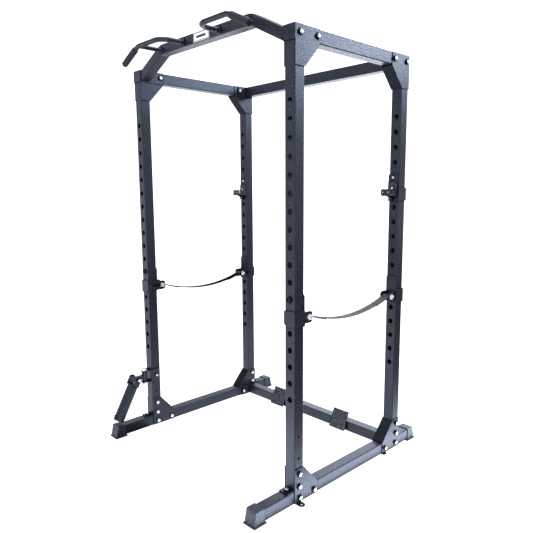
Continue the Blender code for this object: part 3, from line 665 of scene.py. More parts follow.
def build_gusset(corner, side, end, top):
    outward = post_y(end)[0]
    corner_z = TOP if top else RAIL_LOW + 0.0013
    far_z = TOP - 0.148 if top else RAIL_TOP + 0.097
    low_edge_z = TOP - TUBE - 0.005 if top else RAIL_TOP + 0.003
    lip = 0.0545
    reach = 0.138

    def at(distance, z):
        return (outward - end * distance, z)

    outline = (at(0, corner_z), at(0, far_z), at(lip, far_z), at(reach, low_edge_z), at(reach, corner_z))
    start = TUBE + GAP
    slope = (low_edge_z - far_z) / (reach - lip)
    start_z = far_z + slope * (start - lip)
    drop = PLATE * math.hypot(1, slope) * (1 if slope > 0 else -1)
    web_outline = (
        at(start, start_z),
        at(reach, low_edge_z),
        at(reach - PLATE, low_edge_z - slope * PLATE + drop * 0.999),
        at(start, start_z + drop),
    )
    outer = prism(outline, 0, both(side, HALF_WIDTH + GAP, HALF_WIDTH + GAP + PLATE))
    inner = prism(outline, 0, both(side, INNER_X - GAP, PLATE_IN_X))
    web = prism(web_outline, 0, both(side, PLATE_IN_X + 0.001, HALF_WIDTH + GAP + PLATE - 0.001))
    kind = "top" if top else "base"
    name = f"{kind}_corner_plate_{corner}"
    piece(union(outer, inner, web), name, POWDER, bevel=0.0007, stands_for=[f"{kind}_gusset_{corner}"])

    if top:
        places = ((0.025, TOP - 0.029), (0.1225, TOP - 0.028))
    else:
        places = ((0.026, 0.136), (0.025, 0.080), (0.028, 0.029), (0.118, 0.030))
        if end > 0:
            places = ((0.026, 0.137), (0.025, 0.084), (0.028, 0.034), (0.118, 0.034))
    parts = []
    for distance, z in places:
        y = outward - end * distance
        parts.append(bolt_head((side * (HALF_WIDTH + GAP + PLATE), y, z), (side, 0, 0)))
        covered = top or (end > 0 and z < RAIL_TOP)
        if not covered:
            parts.append(nut_end((side * PLATE_IN_X, y, z), (-side, 0, 0)))
    fasten(f"{kind}_corner_bolts_{corner}", parts)


# ---------------------------------------------------------------- beams


def build_side_beam(side_name, side):
    spans = (both(side, INNER_X, HALF_WIDTH), (FRONT_Y + TUBE + GAP, REAR_Y - TUBE - GAP), (TOP - TUBE, TOP))
    piece(pipe(1, spans), f"side_beam_{side_name}", POWDER, stands_for=[f"top_beam_{side_name}"])


def build_cross_tube(name, node, low_z):
    """A tube between the rear corners, with a bolted flange on each end."""
    end_x = PLATE_IN_X - GAP
    tube = pipe(0, ((-end_x + 0.004, end_x - 0.004), (REAR_Y - TUBE, REAR_Y), (low_z, low_z + TUBE)))
    if low_z < RAIL_TOP:
        places = [(x, REAR_Y - TUBE, low_z + TUBE / 2) for x in (-0.048, 0.048)]
        tube = cut(tube, *[drill(place, (0, 1, 0), 2 * WALL, 0.009, 0.0003, 20) for place in places])
    piece(tube, name, POWDER, stands_for=[node])
    for side_name, side in SIDES.items():
        outline = rounded(0.116, TUBE, 0.004, middle=(REAR_Y - 0.058, low_z + TUBE / 2))
        flange = prism(outline, 0, both(side, end_x, end_x - 0.004))
        piece(flange, f"{name}_flange_{side_name}", POWDER, bevel=0.0007)
        place = (side * (end_x - 0.004), REAR_Y - 0.106, low_z + TUBE / 2 + 0.001)
        fasten(f"{name}_flange_bolt_{side_name}", [bolt_head(place, (-side, 0, 0))])


# ---------------------------------------------------------------- foot plates

TREAD_X = 0.235
TREAD_WIDTH = 0.104
TREAD_LENGTH = 0.105
TREAD_THICKNESS = 0.0045
TREAD_LEAN = math.radians(25)


def tread_point(along, behind):
    """(y, z) on a foot plate, along it from its lower edge and behind its front face."""
    return (
        REAR_Y - 0.0822 + along * math.sin(TREAD_LEAN) + behind * math.cos(TREAD_LEAN),
        0.013 + along * math.cos(TREAD_LEAN) - behind * math.sin(TREAD_LEAN),
    )


def build_foot_plate(side_name, side):
    x = side * TREAD_X
    corners = (
        tread_point(0, 0),
        tread_point(TREAD_LENGTH, 0),
        tread_point(TREAD_LENGTH, TREAD_THICKNESS),
        tread_point(0, TREAD_THICKNESS),
    )
    plate = prism(corners, 0, (x - TREAD_WIDTH / 2, x + TREAD_WIDTH / 2))
    piece(plate, f"foot_plate_{side_name}_base", TREAD, bevel=0.0012, stands_for=[f"foot_plate_{side_name}"])

    bm = bmesh.new()
    pitch = 0.0125
    size = 0.0048
    rows = int((TREAD_LENGTH - 0.008) / pitch)
    columns = int((TREAD_WIDTH - 0.008) / pitch)
    for row in range(rows + 1):
        for column in range(columns + 1):
            across = (column - columns / 2) * pitch
            along = TREAD_LENGTH / 2 + (row - rows / 2) * pitch
            rings = []
            for half, out in ((size, 0.0004), (size * 0.45, -0.0016)):
                diamond = ((-half, 0), (0, -half), (half, 0), (0, half))
                rings.append([(x + across + a, *tread_point(along + b, out)) for a, b in diamond])
            skin(bm, rings)
    piece(solid(bm), f"foot_plate_{side_name}_studs", TREAD)

    behind = TREAD_THICKNESS + GAP
    back = REAR_Y - TUBE - GAP
    low = tread_point(0.006, behind)
    lug = (low, tread_point(0.044, behind), (back, RAIL_TOP - 0.002), (back, low[1]))
    strip = ((back - 0.003, low[1]), (back - 0.003, 0.040), (back, 0.040), (back, low[1]))
    half = TREAD_WIDTH / 2 - 0.003
    bracket = prism(strip, 0, (x - half, x + half))
    for turn in (-1, 1):
        across = sorted((x + turn * half, x + turn * (half - 0.004)))
        bracket = union(bracket, prism(lug, 0, across))
    name = f"foot_plate_{side_name}_bracket"
    piece(bracket, name, POWDER, bevel=0.0006, stands_for=[f"foot_plate_bracket_{side_name}"])


# ---------------------------------------------------------------- pull-up bar and handles

BAR_HEIGHT = 0.046
BAR_LOW_Z = 1.966
BAR_BEND_X = 0.322
BAR_SLOPE = math.radians(26.9)
BAR_END_X = PLATE_IN_X - 2 * GAP - BRACKET + 0.001 - GAP
HANDLE_DIAMETER = 0.022
HANDLE_WALL = 0.002
HANDLE_Z = 1.984
HANDLE_INNER_X = 0.1315
HANDLE_BEND_X = 0.330
HANDLE_REACH = 0.120
HANDLE_TIP = (0.460, 1.922)
GRIP_LENGTH = 0.118
GRIP_DIAMETER = 0.030


def rounded_path(corners, radii, steps=10):
    """Straight runs through the corners, with an arc of the given radius at each inner one."""
    points = [Vector(corners[0])]
    for before, corner, after, radius in zip(corners, corners[1:], corners[2:], radii):
        corner = Vector(corner)
        back = (Vector(before) - corner).normalized()
        ahead = (Vector(after) - corner).normalized()
        half = back.angle(ahead) / 2
        centre = corner + (back + ahead).normalized() * radius / math.sin(half)
        start = corner + back * radius / math.tan(half) - centre
        finish = corner + ahead * radius / math.tan(half) - centre
        points += [centre + start.slerp(finish, step / steps) * radius for step in range(steps + 1)]
    points.append(Vector(corners[-1]))
    return points


def block_about(middle, half, y):
    """A block through y, reaching half to each side of a middle in XZ."""
    x, z = ((at - reach, at + reach) for at, reach in zip(middle, half))
    return box(x, y, z)


def build_pullup_bar():
    middle_z = BAR_LOW_Z + BAR_HEIGHT / 2
    y = FRONT_Y + TUBE / 2
    bend_x = BAR_BEND_X + BAR_HEIGHT / 2 * math.tan(BAR_SLOPE / 2)
    end_z = middle_z - (BAR_END_X - bend_x) * math.tan(BAR_SLOPE)
    corners = [(-BAR_END_X, y, end_z), (-bend_x, y, middle_z), (bend_x, y, middle_z), (BAR_END_X, y, end_z)]
    path = rounded_path(corners, (0.075, 0.075), 6)
    outer = rounded(TUBE, BAR_HEIGHT, CORNER)
    inner = rounded(TUBE - 2 * WALL, BAR_HEIGHT - 2 * WALL, CORNER - WALL)
    bar = swept(path, outer, inner)
    trim = BAR_END_X * 2
    ends = [box(both(side, BAR_END_X - 0.0001, trim), (y - 0.05, y + 0.05), (1.8, 2.1)) for side in (-1, 1)]
    # The sloping legs end square to their own axis, so they are made long and cut upright.
    piece(cut(bar, *ends), "pullup_bar_tube", POWDER, stands_for=["pullup_bar"])

    middle = (0.005, BAR_LOW_Z + 0.0225)
    face = FRONT_Y - GAP - 0.0018
    label = prism(rounded(0.113, 0.039, 0.003, middle=middle), 1, (face, FRONT_Y - GAP))
    piece(label, "blank_label", LABEL, bevel=0.0004, stands_for=["label_plate"])
    print_y = (face - 0.0003, face + 0.0005)
    rim = prism(rounded(0.109, 0.035, 0.002, middle=middle), 1, print_y)
    window = block_about(middle, (0.0525, 0.0155), (face - 0.002, face + 0.002))
    bar = block_about(middle, (0.034, 0.005), print_y)
    piece(joined([cut(rim, window), bar]), "label_border", PLASTIC)


def build_pullup_bracket(side_name, side):
    outer_x = HALF_WIDTH + 0.0035
    flange_x = BAR_END_X + GAP
    z = (TOP - 0.056, TOP)
    face_y = FRONT_Y - GAP
    face = box(both(side, flange_x, outer_x), (face_y - BRACKET, face_y), z)
    flange = box(both(side, flange_x, PLATE_IN_X - GAP), (face_y - 0.001, FRONT_Y + 0.1315), z)
    bracket = union(face, flange)
    name = f"pullup_end_bracket_{side_name}"
    piece(bracket, name, POWDER, bevel=0.0009, stands_for=[f"pullup_bracket_{side_name}"])
    place = (side * flange_x, FRONT_Y + 0.116, TOP - 0.026)
    fasten(f"pullup_bracket_bolt_{side_name}", [bolt_head(place, (-side, 0, 0))])


def build_handle(side_name, side):
    y = FRONT_Y - HANDLE_REACH
    face_y = FRONT_Y - GAP
    corners = (
        (side * HANDLE_INNER_X, face_y, HANDLE_Z),
        (side * HANDLE_INNER_X, y, HANDLE_Z),
        (side * HANDLE_BEND_X, y, HANDLE_Z),
        (side * HANDLE_TIP[0], y, HANDLE_TIP[1]),
    )
    path = rounded_path(corners, (0.055, 0.080))
    tube = swept(path, circle(HANDLE_DIAMETER, 24), circle(HANDLE_DIAMETER - 2 * HANDLE_WALL, 24))
    piece(tube, f"handle_tube_{side_name}", POWDER, stands_for=[f"pullup_handle_{side_name}"])

    brace_x = side * (HANDLE_BEND_X - 0.010)
    brace = rod((brace_x, face_y, HANDLE_Z), (brace_x, y + 0.006, HANDLE_Z), 0.020)
    piece(brace, f"handle_brace_{side_name}", GLOSS)
    collars = (
        ("brace", brace_x, 0.027, 0.016, 0.0203, PLASTIC),
        ("mount", side * HANDLE_INNER_X, 0.0315, 0.010, HANDLE_DIAMETER + 0.0003, GLOSS),
    )
    for kind, x, size, depth, bore, mat in collars:
        r = size / 2
        profile = ((0, r), (depth - 0.0025, r), (depth - 0.0008, r - 0.0008), (depth, r - 0.0025))
        sleeve = lathe(profile, (x, face_y, HANDLE_Z), (0, -1, 0), 32)
        hole = rod((x, face_y + 0.01, HANDLE_Z), (x, face_y - 0.03, HANDLE_Z), bore, 0, 32)
        piece(cut(sleeve, hole), f"handle_{kind}_collar_{side_name}", mat)

    along = (Vector(corners[3]) - Vector(corners[2])).normalized()
    tip = Vector(corners[3])
    grip_end = tip - along * 0.002
    grip_start = grip_end - along * GRIP_LENGTH
    r = GRIP_DIAMETER / 2
    ridge = 0.0006
    profile = [(0.0, r - 0.0022), (0.0015, r - 0.0004)]
    count = 24
    for index in range(count):
        base = 0.006 + index * (GRIP_LENGTH - 0.012) / count
        profile += [(base, r), (base + 0.0026, r), (base + 0.0032, r - ridge), (base + 0.0041, r - ridge)]
    profile += [(GRIP_LENGTH - 0.0015, r - 0.0004), (GRIP_LENGTH, r - 0.0022)]
    sleeve = lathe(profile, grip_start, along, 28)
    hole = rod(grip_start - along * 0.01, grip_end + along * 0.01, HANDLE_DIAMETER + 0.0004, 0, 28)
    piece(cut(sleeve, hole), f"grip_sleeve_{side_name}", GRIP, stands_for=[f"handle_grip_{side_name}"])

    r = HANDLE_DIAMETER / 2
    profile = [(-0.011, r - 0.0035), (-0.0005, r - 0.0026), (0.0003, r - 0.0004), (0.0015, r)]
    profile += [(0.0032, r - 0.0008), (0.0046, r - 0.0036), (0.0052, r - 0.008)]
    cap = lathe(profile, tip, along, 28)
    piece(cap, f"grip_end_cap_{side_name}", OXIDE_AND_SHADE, stands_for=[f"handle_cap_{side_name}"])


# ---------------------------------------------------------------- J-hooks and safety straps

SADDLE_Z = JHOOK_Z - 0.083
SADDLE_REACH = 0.0614
LIP_TOP_Z = JHOOK_Z - 0.056


def backing_plate(side, x, z, wrap_top, edge_low, y):
    """A plate against a post, with its top corners cut, and widened below wrap_top to meet the web."""
    chamfer = 0.006
    outer = HALF_WIDTH + GAP + BRACKET
    outline = (
        (x[0], edge_low),
        (x[0], z[1] - chamfer),
        (x[0] + chamfer, z[1]),
        (x[1] - chamfer, z[1]),
        (x[1], z[1] - chamfer),
        (x[1], wrap_top),
        (outer, wrap_top),
        (outer, z[0]),
    )
    return prism([(side * a, b) for a, b in outline], 1, y)


def wrap_plates(side, outward, inward, end, z, back_reach):
    """A web on the post's outer side and a plate that turns in behind it."""
    outer = HALF_WIDTH + GAP + BRACKET
    y = sorted((outward + end * (GAP + BRACKET), inward - end * (GAP + BRACKET)))
    web = box(both(side, HALF_WIDTH + GAP, outer), y, z)
    bevel = 0.014
    inner = side * (HALF_WIDTH - back_reach)
    outline = (
        (side * outer, z[0]),
        (side * outer, z[1]),
        (inner, z[1]),
        (inner, z[0] + bevel),
        (inner + side * bevel, z[0]),
    )
    return [web, prism(outline, 1, sorted((outward + end * GAP, outward + end * (GAP + BRACKET))))]


def build_pin(name, side, outward, inward, end, z, body):
    """The pin through the post, turned down and bored a little way in at its far end."""
    start = Vector((side * POST_X, inward - end * (GAP + 0.001), z))
    finish = Vector((side * POST_X, outward + end * 0.010, z))
    along = (finish - start).normalized()
    length = (finish - start).length
    profile = [(0, 0.011), (length - 0.0012, 0.011), (length, 0.0100)]
    profile += [(length, 0.0074), (length - 0.004, 0.0070)]
    piece(lathe(profile, start, along, 28), f"{name}_pin", OXIDE_AND_SHADE, body)


def build_jhook(side_name, side):
    body = f"jhook_{side_name}"
    outward, inward = post_y(1)
    face = inward - GAP
    plate_x = (side * (INNER_X - 0.0025), side * (HALF_WIDTH - 0.0055))
    low = JHOOK_Z - 0.111
    wrap_z = (JHOOK_Z - 0.109, JHOOK_Z - 0.048)
    plate_z = (low, JHOOK_Z + 0.017)
    plate = backing_plate(
        side, (INNER_X - 0.0025, HALF_WIDTH - 0.0055), plate_z, wrap_z[1], low, (face - BRACKET, face)
    )
    front = face - BRACKET - SADDLE_REACH
    saddle = box(sorted(plate_x), (front + 0.001, face - 0.001), (SADDLE_Z - BRACKET, SADDLE_Z))
    bevel = side * 0.009
    lip_outline = (
        (plate_x[0] + bevel, SADDLE_Z - BRACKET),
        (plate_x[0], SADDLE_Z - BRACKET + 0.009),
        (plate_x[0], LIP_TOP_Z),
        (plate_x[1], LIP_TOP_Z),
        (plate_x[1], SADDLE_Z - BRACKET),
    )
    lip = prism(lip_outline, 1, (front, front + BRACKET))
    brace_outline = (
        (face - 0.001, SADDLE_Z - 0.001),
        (front + 0.012, SADDLE_Z - 0.001),
        (front + 0.012, SADDLE_Z - BRACKET),
        (face - BRACKET, low),
        (face - 0.001, low),
    )
    centre = side * (POST_X - 0.004)
    brace = prism(brace_outline, 0, (centre - 0.004, centre + 0.004))
    wraps = wrap_plates(side, outward, inward, 1, wrap_z, 0.036)
    hook = union(plate, saddle, lip, brace, *wraps)
    piece(hook, f"hook_plate_{side_name}", POWDER, body, bevel=0.0009, stands_for=[f"jhook_{side_name}"])
    build_pin(f"hook_{side_name}", side, outward, inward, 1, JHOOK_Z, body)

    back = face - BRACKET - GAP
    near = face - SADDLE_REACH + GAP
    floor = SADDLE_Z + GAP
    thick = 0.006
    top = JHOOK_Z - 0.022
    fillet = 0.010
    outline = [(back, floor), (back, top), (back - thick + 0.0015, top), (back - thick, top - 0.002)]
    outline += arc((back - thick - fillet, floor + thick + fillet), (fillet, -fillet), 0, 90, 4)
    radius = 0.006
    outline += arc((near + thick + radius, floor + thick + radius), (-radius, -radius), 90, -90, 4)
    outline += [(near + thick, LIP_TOP_Z + 0.001), (near + thick - 0.001, LIP_TOP_Z + 0.002)]
    outline += [(near, LIP_TOP_Z + 0.002), (near, floor)]
    x = (side * (INNER_X - 0.0005), side * (HALF_WIDTH - 0.0075))
    liner = prism(outline, 0, x)
    name = f"hook_liner_{side_name}"
    piece(liner, name, PLASTIC, body, bevel=0.0008, stands_for=[f"jhook_liner_{side_name}"])

    washers = []
    screws = []
    for place in ((centre, face - BRACKET, JHOOK_Z), (centre, back - thick, JHOOK_Z - 0.050)):
        place = Vector(place)
        washers.append(rod(place, place - Vector((0, 0.0012, 0)), 0.020, 0.0003))
        screws += screw(place - Vector((0, 0.0012, 0)), (0, -1, 0), 0.0115)
    for offset in (-0.015, 0.015):
        screws += screw(Vector((centre + offset, front, SADDLE_Z + 0.014)), (0, -1, 0), 0.006)
    piece(joined(screws), f"hook_screws_{side_name}", ZINC, body)
    piece(joined(washers), f"hook_screw_washers_{side_name}", OXIDE_AND_SHADE, body)


def screw(place, axis, diameter):
    """A low domed screw head with a hexagon socket."""
    r = diameter / 2
    dome = lathe(((-0.0006, r), (0.0005, r), (0.0014, r * 0.86), (0.0021, r * 0.55)), place, axis, 20)
    socket = hexagon(place + Vector(axis) * 0.0008, axis, diameter * 0.42, 0.004)
    return [cut(dome, socket)]


STRAP_BOLT_Z = STRAP_Z - 0.081
STRAP_BOLT_OUT = 0.0365
CLEVIS_INNER = 0.0215
CLEVIS_REACH = 0.0545
STRAP_WIDTH = 0.041
STRAP_THICKNESS = 0.0030
STRAP_SAG = 0.046
STRAP_OVERLAP = 0.085
STRAP_STEPS = 14  # in the overlap, and again in the loop round a bolt
STRAP_TOP = 2 * (STRAP_STEPS + 1)  # the line's first point on top of the loop


def strap_bolt_y(end):
    return post_y(end)[1] - end * STRAP_BOLT_OUT


def build_strap_bracket(corner, side, end):
    body = "strap_right" if side > 0 else "strap_left"
    outward, inward = post_y(end)
    face = inward - end * GAP
    wrap_z = (STRAP_Z - 0.114, STRAP_Z - 0.048)
    plate_z = (wrap_z[0], STRAP_Z + 0.017)
    plate_y = sorted((face, face - end * BRACKET))
    plate_x = (INNER_X, HALF_WIDTH + 0.0015)
    plate = backing_plate(side, plate_x, plate_z, wrap_z[1], wrap_z[0] + 0.005, plate_y)
    ears = []
    radius = 0.014
    tip = inward - end * CLEVIS_REACH
    for turn in (-1, 1):
        top = STRAP_BOLT_Z + 0.024
        bottom = STRAP_BOLT_Z - 0.024
        outline = [(face - end * 0.001, bottom), (face - end * 0.001, top)]
        for centre_z, start in ((top - radius, 90), (bottom + radius, 0)):
            outline += arc((tip + end * radius, centre_z), (-end * radius, radius), start, -90, 8)
        ear_x = side * POST_X + turn * CLEVIS_INNER
        ears.append(prism(outline, 0, sorted((ear_x, ear_x + turn * 0.004))))
    bracket = union(plate, *ears, *wrap_plates(side, outward, inward, end, wrap_z, 0.057))
    place = Vector((side * POST_X, strap_bolt_y(end), STRAP_BOLT_Z))
    hole = cross_rod(place, 0.04, 0.013, 0)
    name = f"strap_clevis_{corner}"
    piece(cut(bracket, hole), name, POWDER, body, bevel=0.0009, stands_for=[f"strap_bracket_{corner}"])
    build_pin(f"strap_{corner}", side, outward, inward, end, STRAP_Z, body)

    reach = CLEVIS_INNER + 0.004
    shank = cross_rod(place, reach, 0.012)
    head = bolt_head(place + Vector((side * reach, 0, 0)), (side, 0, 0), 0.0115)
    nut = nut_end(place - Vector((side * reach, 0, 0)), (-side, 0, 0), 0.0115)
    fasten(f"clevis_bolt_{corner}", [head, nut], body, [f"strap_bolt_{corner}"], [shank], ZINC)


def strap_line(side):
    """Half of the webbing's line in YZ, from its sewn end round the front bolt, and the middle's y."""
    front_y = strap_bolt_y(-1)
    rear_y = strap_bolt_y(1)
    middle = (front_y + rear_y) / 2
    half_span = (rear_y - front_y) / 2
    loop = 0.006 + 0.0008 + STRAP_THICKNESS / 2
    top_z = STRAP_BOLT_Z + loop * 0.93

    def run(t):
        return Vector((middle + t * half_span, top_z - (STRAP_SAG + loop) * (1 - t * t)))

    def slope(t):
        return Vector((half_span, 2 * (STRAP_SAG + loop) * t)).normalized()

    def under(t):
        direction = slope(t)
        return run(t) + Vector((direction.y, -direction.x)) * (STRAP_THICKNESS + 0.0004)

    # Degrees round the bolt, from the horizontal, where the webbing leaves it above and comes to it below
    leave = 68
    meet = 62
    start_t = -1 + loop * math.cos(math.radians(leave)) / half_span + 0.012
    overlap_t = STRAP_OVERLAP / half_span
    join_t = 0.030 / half_span
    line = [under(-1 + join_t + overlap_t * (1 - step / STRAP_STEPS)) for step in range(STRAP_STEPS + 1)]
    turned = arc((front_y, STRAP_BOLT_Z), (loop, loop), -meet, leave + meet - 360, STRAP_STEPS)
    line += [Vector(point) for point in turned]
    half_steps = 20
    line += [run(start_t * (1 - step / half_steps)) for step in range(half_steps + 1)]
    return line, middle


def build_strap(side_name, side):
    half_line, middle = strap_line(side)
    mirrored = [Vector((2 * middle - p.x, p.y)) for p in reversed(half_line[:-1])]
    line = half_line + mirrored
    x = side * POST_X
    half = STRAP_WIDTH / 2
    section = ((-half, 0.25), (-half + 0.0009, 1), (half - 0.0009, 1), (half, 0.25))
    rings = []
    for index, point in enumerate(line):
        along = (line[min(index + 1, len(line) - 1)] - line[max(index - 1, 0)]).normalized()
        normal = Vector((-along.y, along.x)) * STRAP_THICKNESS / 2
        ring = [(across, point + normal * thick) for across, thick in section]
        ring += [(across, point - normal * thick) for across, thick in reversed(section)]
        rings.append([(x + across, p.x, p.y) for across, p in ring])
    bm = bmesh.new()
    skin(bm, rings)
    length = sum((b - a).length for a, b in zip(line, line[1:]))
    body = f"strap_{side_name}"
    strap = solid(bm)
    piece(strap, f"webbing_{side_name}", WEBBING, body, stands_for=[f"safety_strap_{side_name}"])
    stitches = build_stitches(side, line, middle)
    piece(stitches, f"stitching_{side_name}", THREAD, body)


def build_stitches(side, line, middle):
    """Rows of thread along and across the sewn overlap at each end of a strap."""
    bm = bmesh.new()
    x = side * POST_X
    top_run = [p for p in line[STRAP_TOP:] if p.x < middle]
    start = top_run[0].x + 0.026
    length = STRAP_OVERLAP - 0.012
    cross = 0.015

    def height(y):
        for a, b in zip(line[STRAP_TOP - 1 :], line[STRAP_TOP:]):
            if a.x <= y <= b.x:
                return a.y + (b.y - a.y) * (y - a.x) / (b.x - a.x)
        return top_run[-1].y

    def stitch(x0, y0, x1, y1):
        a = Vector((x0, y0, height(y0) + STRAP_THICKNESS / 2))
        b = Vector((x1, y1, height(y1) + STRAP_THICKNESS / 2))
        along = (b - a).normalized()
        across = along.cross(Vector((0, 0, 1))).normalized()
        section = ((-0.0005, -0.0002), (-0.0003, 0.0003), (0.0003, 0.0003), (0.0005, -0.0002))
        rings = [[p + across * offset + Vector((0, 0, lift)) for offset, lift in section] for p in (a, b)]
        skin(bm, rings)
        skin(bm, [[(p.x, 2 * middle - p.y, p.z) for p in ring] for ring in rings])

    pitch = 0.0042
    for row in (-cross, -cross / 2, 0, cross / 2, cross):
        for index in range(int(length / pitch)):
            y = start + index * pitch
            stitch(x + row, y, x + row, y + pitch * 0.72)
    for y in (start - 0.002, start + length * 0.5, start + length):
        for index in range(int(2 * cross / pitch) + 1):
            x0 = x - cross + index * pitch
            stitch(x0, y, x0 + pitch * 0.72, y)
    return solid(bm)


# ---------------------------------------------------------------- landmine

LANDMINE_X = -POST_X
CLAMP_Z = (0.258, 0.332)
SWIVEL_Y = FRONT_Y - 0.0315
PITCH_Y = FRONT_Y - 0.0855
PITCH_Z = 0.293
ARM_LEAN = math.radians(28.7)
ARM_BORE = 0.052
ARM_DIAMETER = 0.057
ARM_LENGTH = 0.203
ARM_START = 0.034
YOKE_PLATE = 0.005


def arm_point(across, back, along):
    """A point by the landmine tube: across in X, back towards the post, along from the tilt axis."""
    return Vector(
        (
            LANDMINE_X + across,
            PITCH_Y + back * math.cos(ARM_LEAN) - along * math.sin(ARM_LEAN),
            PITCH_Z - back * math.sin(ARM_LEAN) - along * math.cos(ARM_LEAN),
        )
    )


def arm_prism(outline, across):
    return prism([arm_point(0, back, along).yz[:] for back, along in outline], 0, across)


def build_landmine():
    side_plate = 0.004
    outer = TUBE / 2 + GAP + side_plate
    front = FRONT_Y - GAP
    face = box((LANDMINE_X - 0.020, LANDMINE_X + outer), (front - BRACKET, front), CLAMP_Z)
    cheek_x = (LANDMINE_X + outer - side_plate, LANDMINE_X + outer)
    cheek = box(cheek_x, (front - 0.001, FRONT_Y + 0.047), CLAMP_Z)
    ears = []
    for z in (CLAMP_Z[0] + 0.004, CLAMP_Z[1] - 0.004 - BRACKET):
        tip = arc((LANDMINE_X, SWIVEL_Y), (0.0195, -0.018), 0, 180, 8)
        outline = [(LANDMINE_X + 0.0195, front - 0.001), *tip, (LANDMINE_X - 0.0195, front - 0.001)]
        ears.append(prism(outline, 2, (z, z + BRACKET)))
    clamp = union(face, cheek, *ears)
    piece(clamp, "landmine_post_clamp", POWDER, bevel=0.0009, stands_for=["landmine_clamp"])

    top = CLAMP_Z[1] - 0.004
    bottom = CLAMP_Z[0] + 0.004
    upright = [rod((LANDMINE_X, SWIVEL_Y, bottom), (LANDMINE_X, SWIVEL_Y, top), 0.012)]
    ends = [bolt_head((LANDMINE_X, SWIVEL_Y, top), (0, 0, 1), 0.0145)]
    ends.append(nut_end((LANDMINE_X, SWIVEL_Y, bottom), (0, 0, -1), 0.0120))
    fasten("landmine_upright_bolt", ends, "frame", ["landmine_swivel_bolt"], upright, ZINC)
    cross = [bolt_head((LANDMINE_X + outer, FRONT_Y + TUBE / 2, 0.296), (1, 0, 0), 0.0085)]
    cross.append(nut_end((LANDMINE_X - TUBE / 2, FRONT_Y + TUBE / 2, 0.296), (-1, 0, 0), 0.0085))
    fasten("landmine_clamp_bolt", cross)

    low = bottom + BRACKET + 2 * GAP
    high = top - BRACKET - 2 * GAP
    barrel = rod((LANDMINE_X, SWIVEL_Y, low), (LANDMINE_X, SWIVEL_Y, high), 0.028, 0.001, 32)
    arm_x = (LANDMINE_X - 0.011, LANDMINE_X + 0.011)
    arm = box(arm_x, (PITCH_Y, SWIVEL_Y), (PITCH_Z - 0.010, PITCH_Z + 0.010))
    pivot = Vector((LANDMINE_X, PITCH_Y, PITCH_Z))
    swivel = union(barrel, arm, cross_rod(pivot, ARM_DIAMETER / 2 - 0.001, 0.024, 0.001, 28))
    swivel = cut(swivel, rod((LANDMINE_X, SWIVEL_Y, 0.2), (LANDMINE_X, SWIVEL_Y, 0.4), 0.013, 0))
    swivel = cut(swivel, cross_rod(pivot, 0.05, 0.013, 0))
    piece(swivel, "landmine_swivel_block", POWDER, "landmine_swivel", stands_for=["landmine_swivel"])

    inner = ARM_DIAMETER / 2 + GAP
    wide = inner + YOKE_PLATE
    edge = -0.022
    rounding = 0.017
    outline = [(edge, 0.040), (edge, -0.006), (edge + 0.008, -0.014)]
    outline += arc((0, 0.001), (rounding, -rounding), 90, -90, 12)
    outline.append((rounding, 0.040))
    cheeks = [
        arm_prism(outline, sorted((LANDMINE_X + turn * inner, LANDMINE_X + turn * wide))) for turn in (-1, 1)
    ]
    near = edge + 0.0005
    far = edge + YOKE_PLATE
    web = arm_prism(
        ((near, 0.014), (near, -0.0015), (far, -0.0045), (far, 0.014)),
        (LANDMINE_X - inner - 0.001, LANDMINE_X + inner + 0.001),
    )
    yoke = union(web, *cheeks)
    hole = cross_rod(pivot, 0.05, 0.013, 0)
    body = "landmine_arm"
    piece(cut(yoke, hole), "landmine_hinge_yoke", POWDER, body, bevel=0.0009, stands_for=["landmine_yoke"])

    grip = Vector((wide, 0, 0))
    hinge = [cross_rod(pivot, wide, 0.012)]
    ends = [bolt_head(pivot + grip, (1, 0, 0), 0.0115), nut_end(pivot - grip, (-1, 0, 0), 0.0100)]
    fasten("landmine_hinge_bolt", ends, body, ["landmine_tilt_bolt"], hinge)

    start = arm_point(0, 0, ARM_START)
    axis = (arm_point(0, 0, 1) - arm_point(0, 0, 0)).normalized()
    tube = rod(start, start + axis * ARM_LENGTH, ARM_DIAMETER, 0.0008, 40)
    boss_place = arm_point(0, 0.002 - ARM_DIAMETER / 2, ARM_START + ARM_LENGTH - 0.016)
    boss_axis = arm_point(0, -1, 0) - arm_point(0, 0, 0)
    boss = lathe(((0, 0.009), (0.007, 0.009), (0.0078, 0.0082)), boss_place, boss_axis, 20)
    tube = union(tube, boss)
    bore = rod(start - axis * 0.01, start + axis * (ARM_LENGTH + 0.01), ARM_BORE, 0, 40)
    piece(cut(tube, bore), "landmine_sleeve", POWDER, body, stands_for=["landmine_tube"])
    screw_place = boss_place + boss_axis.normalized() * 0.0078
    piece(joined(screw(screw_place, boss_axis.normalized(), 0.010)), "landmine_set_screw", ZINC, body)


# ---------------------------------------------------------------- the whole cage


def build_cage():
    for side_name, side in SIDES.items():
        build_rail(side_name, side)
        build_side_beam(side_name, side)
        build_foot_plate(side_name, side)
        build_pullup_bracket(side_name, side)
        build_handle(side_name, side)
        build_jhook(side_name, side)
        for end_name, end in ENDS.items():
            corner = f"{end_name}_{side_name}"
            build_post(corner, side, end)
            build_foot(corner, side, end)
            build_gusset(corner, side, end, False)
            build_gusset(corner, side, end, True)
            build_strap_bracket(corner, side, end)
        build_strap(side_name, side)
    build_cross_tube("rear_floor_tube", "base_crossmember", RAIL_LOW)
    build_cross_tube("rear_top_tube", "top_beam_rear", TOP - TUBE)
    build_pullup_bar()
    build_landmine()


# ---------------------------------------------------------------- studio


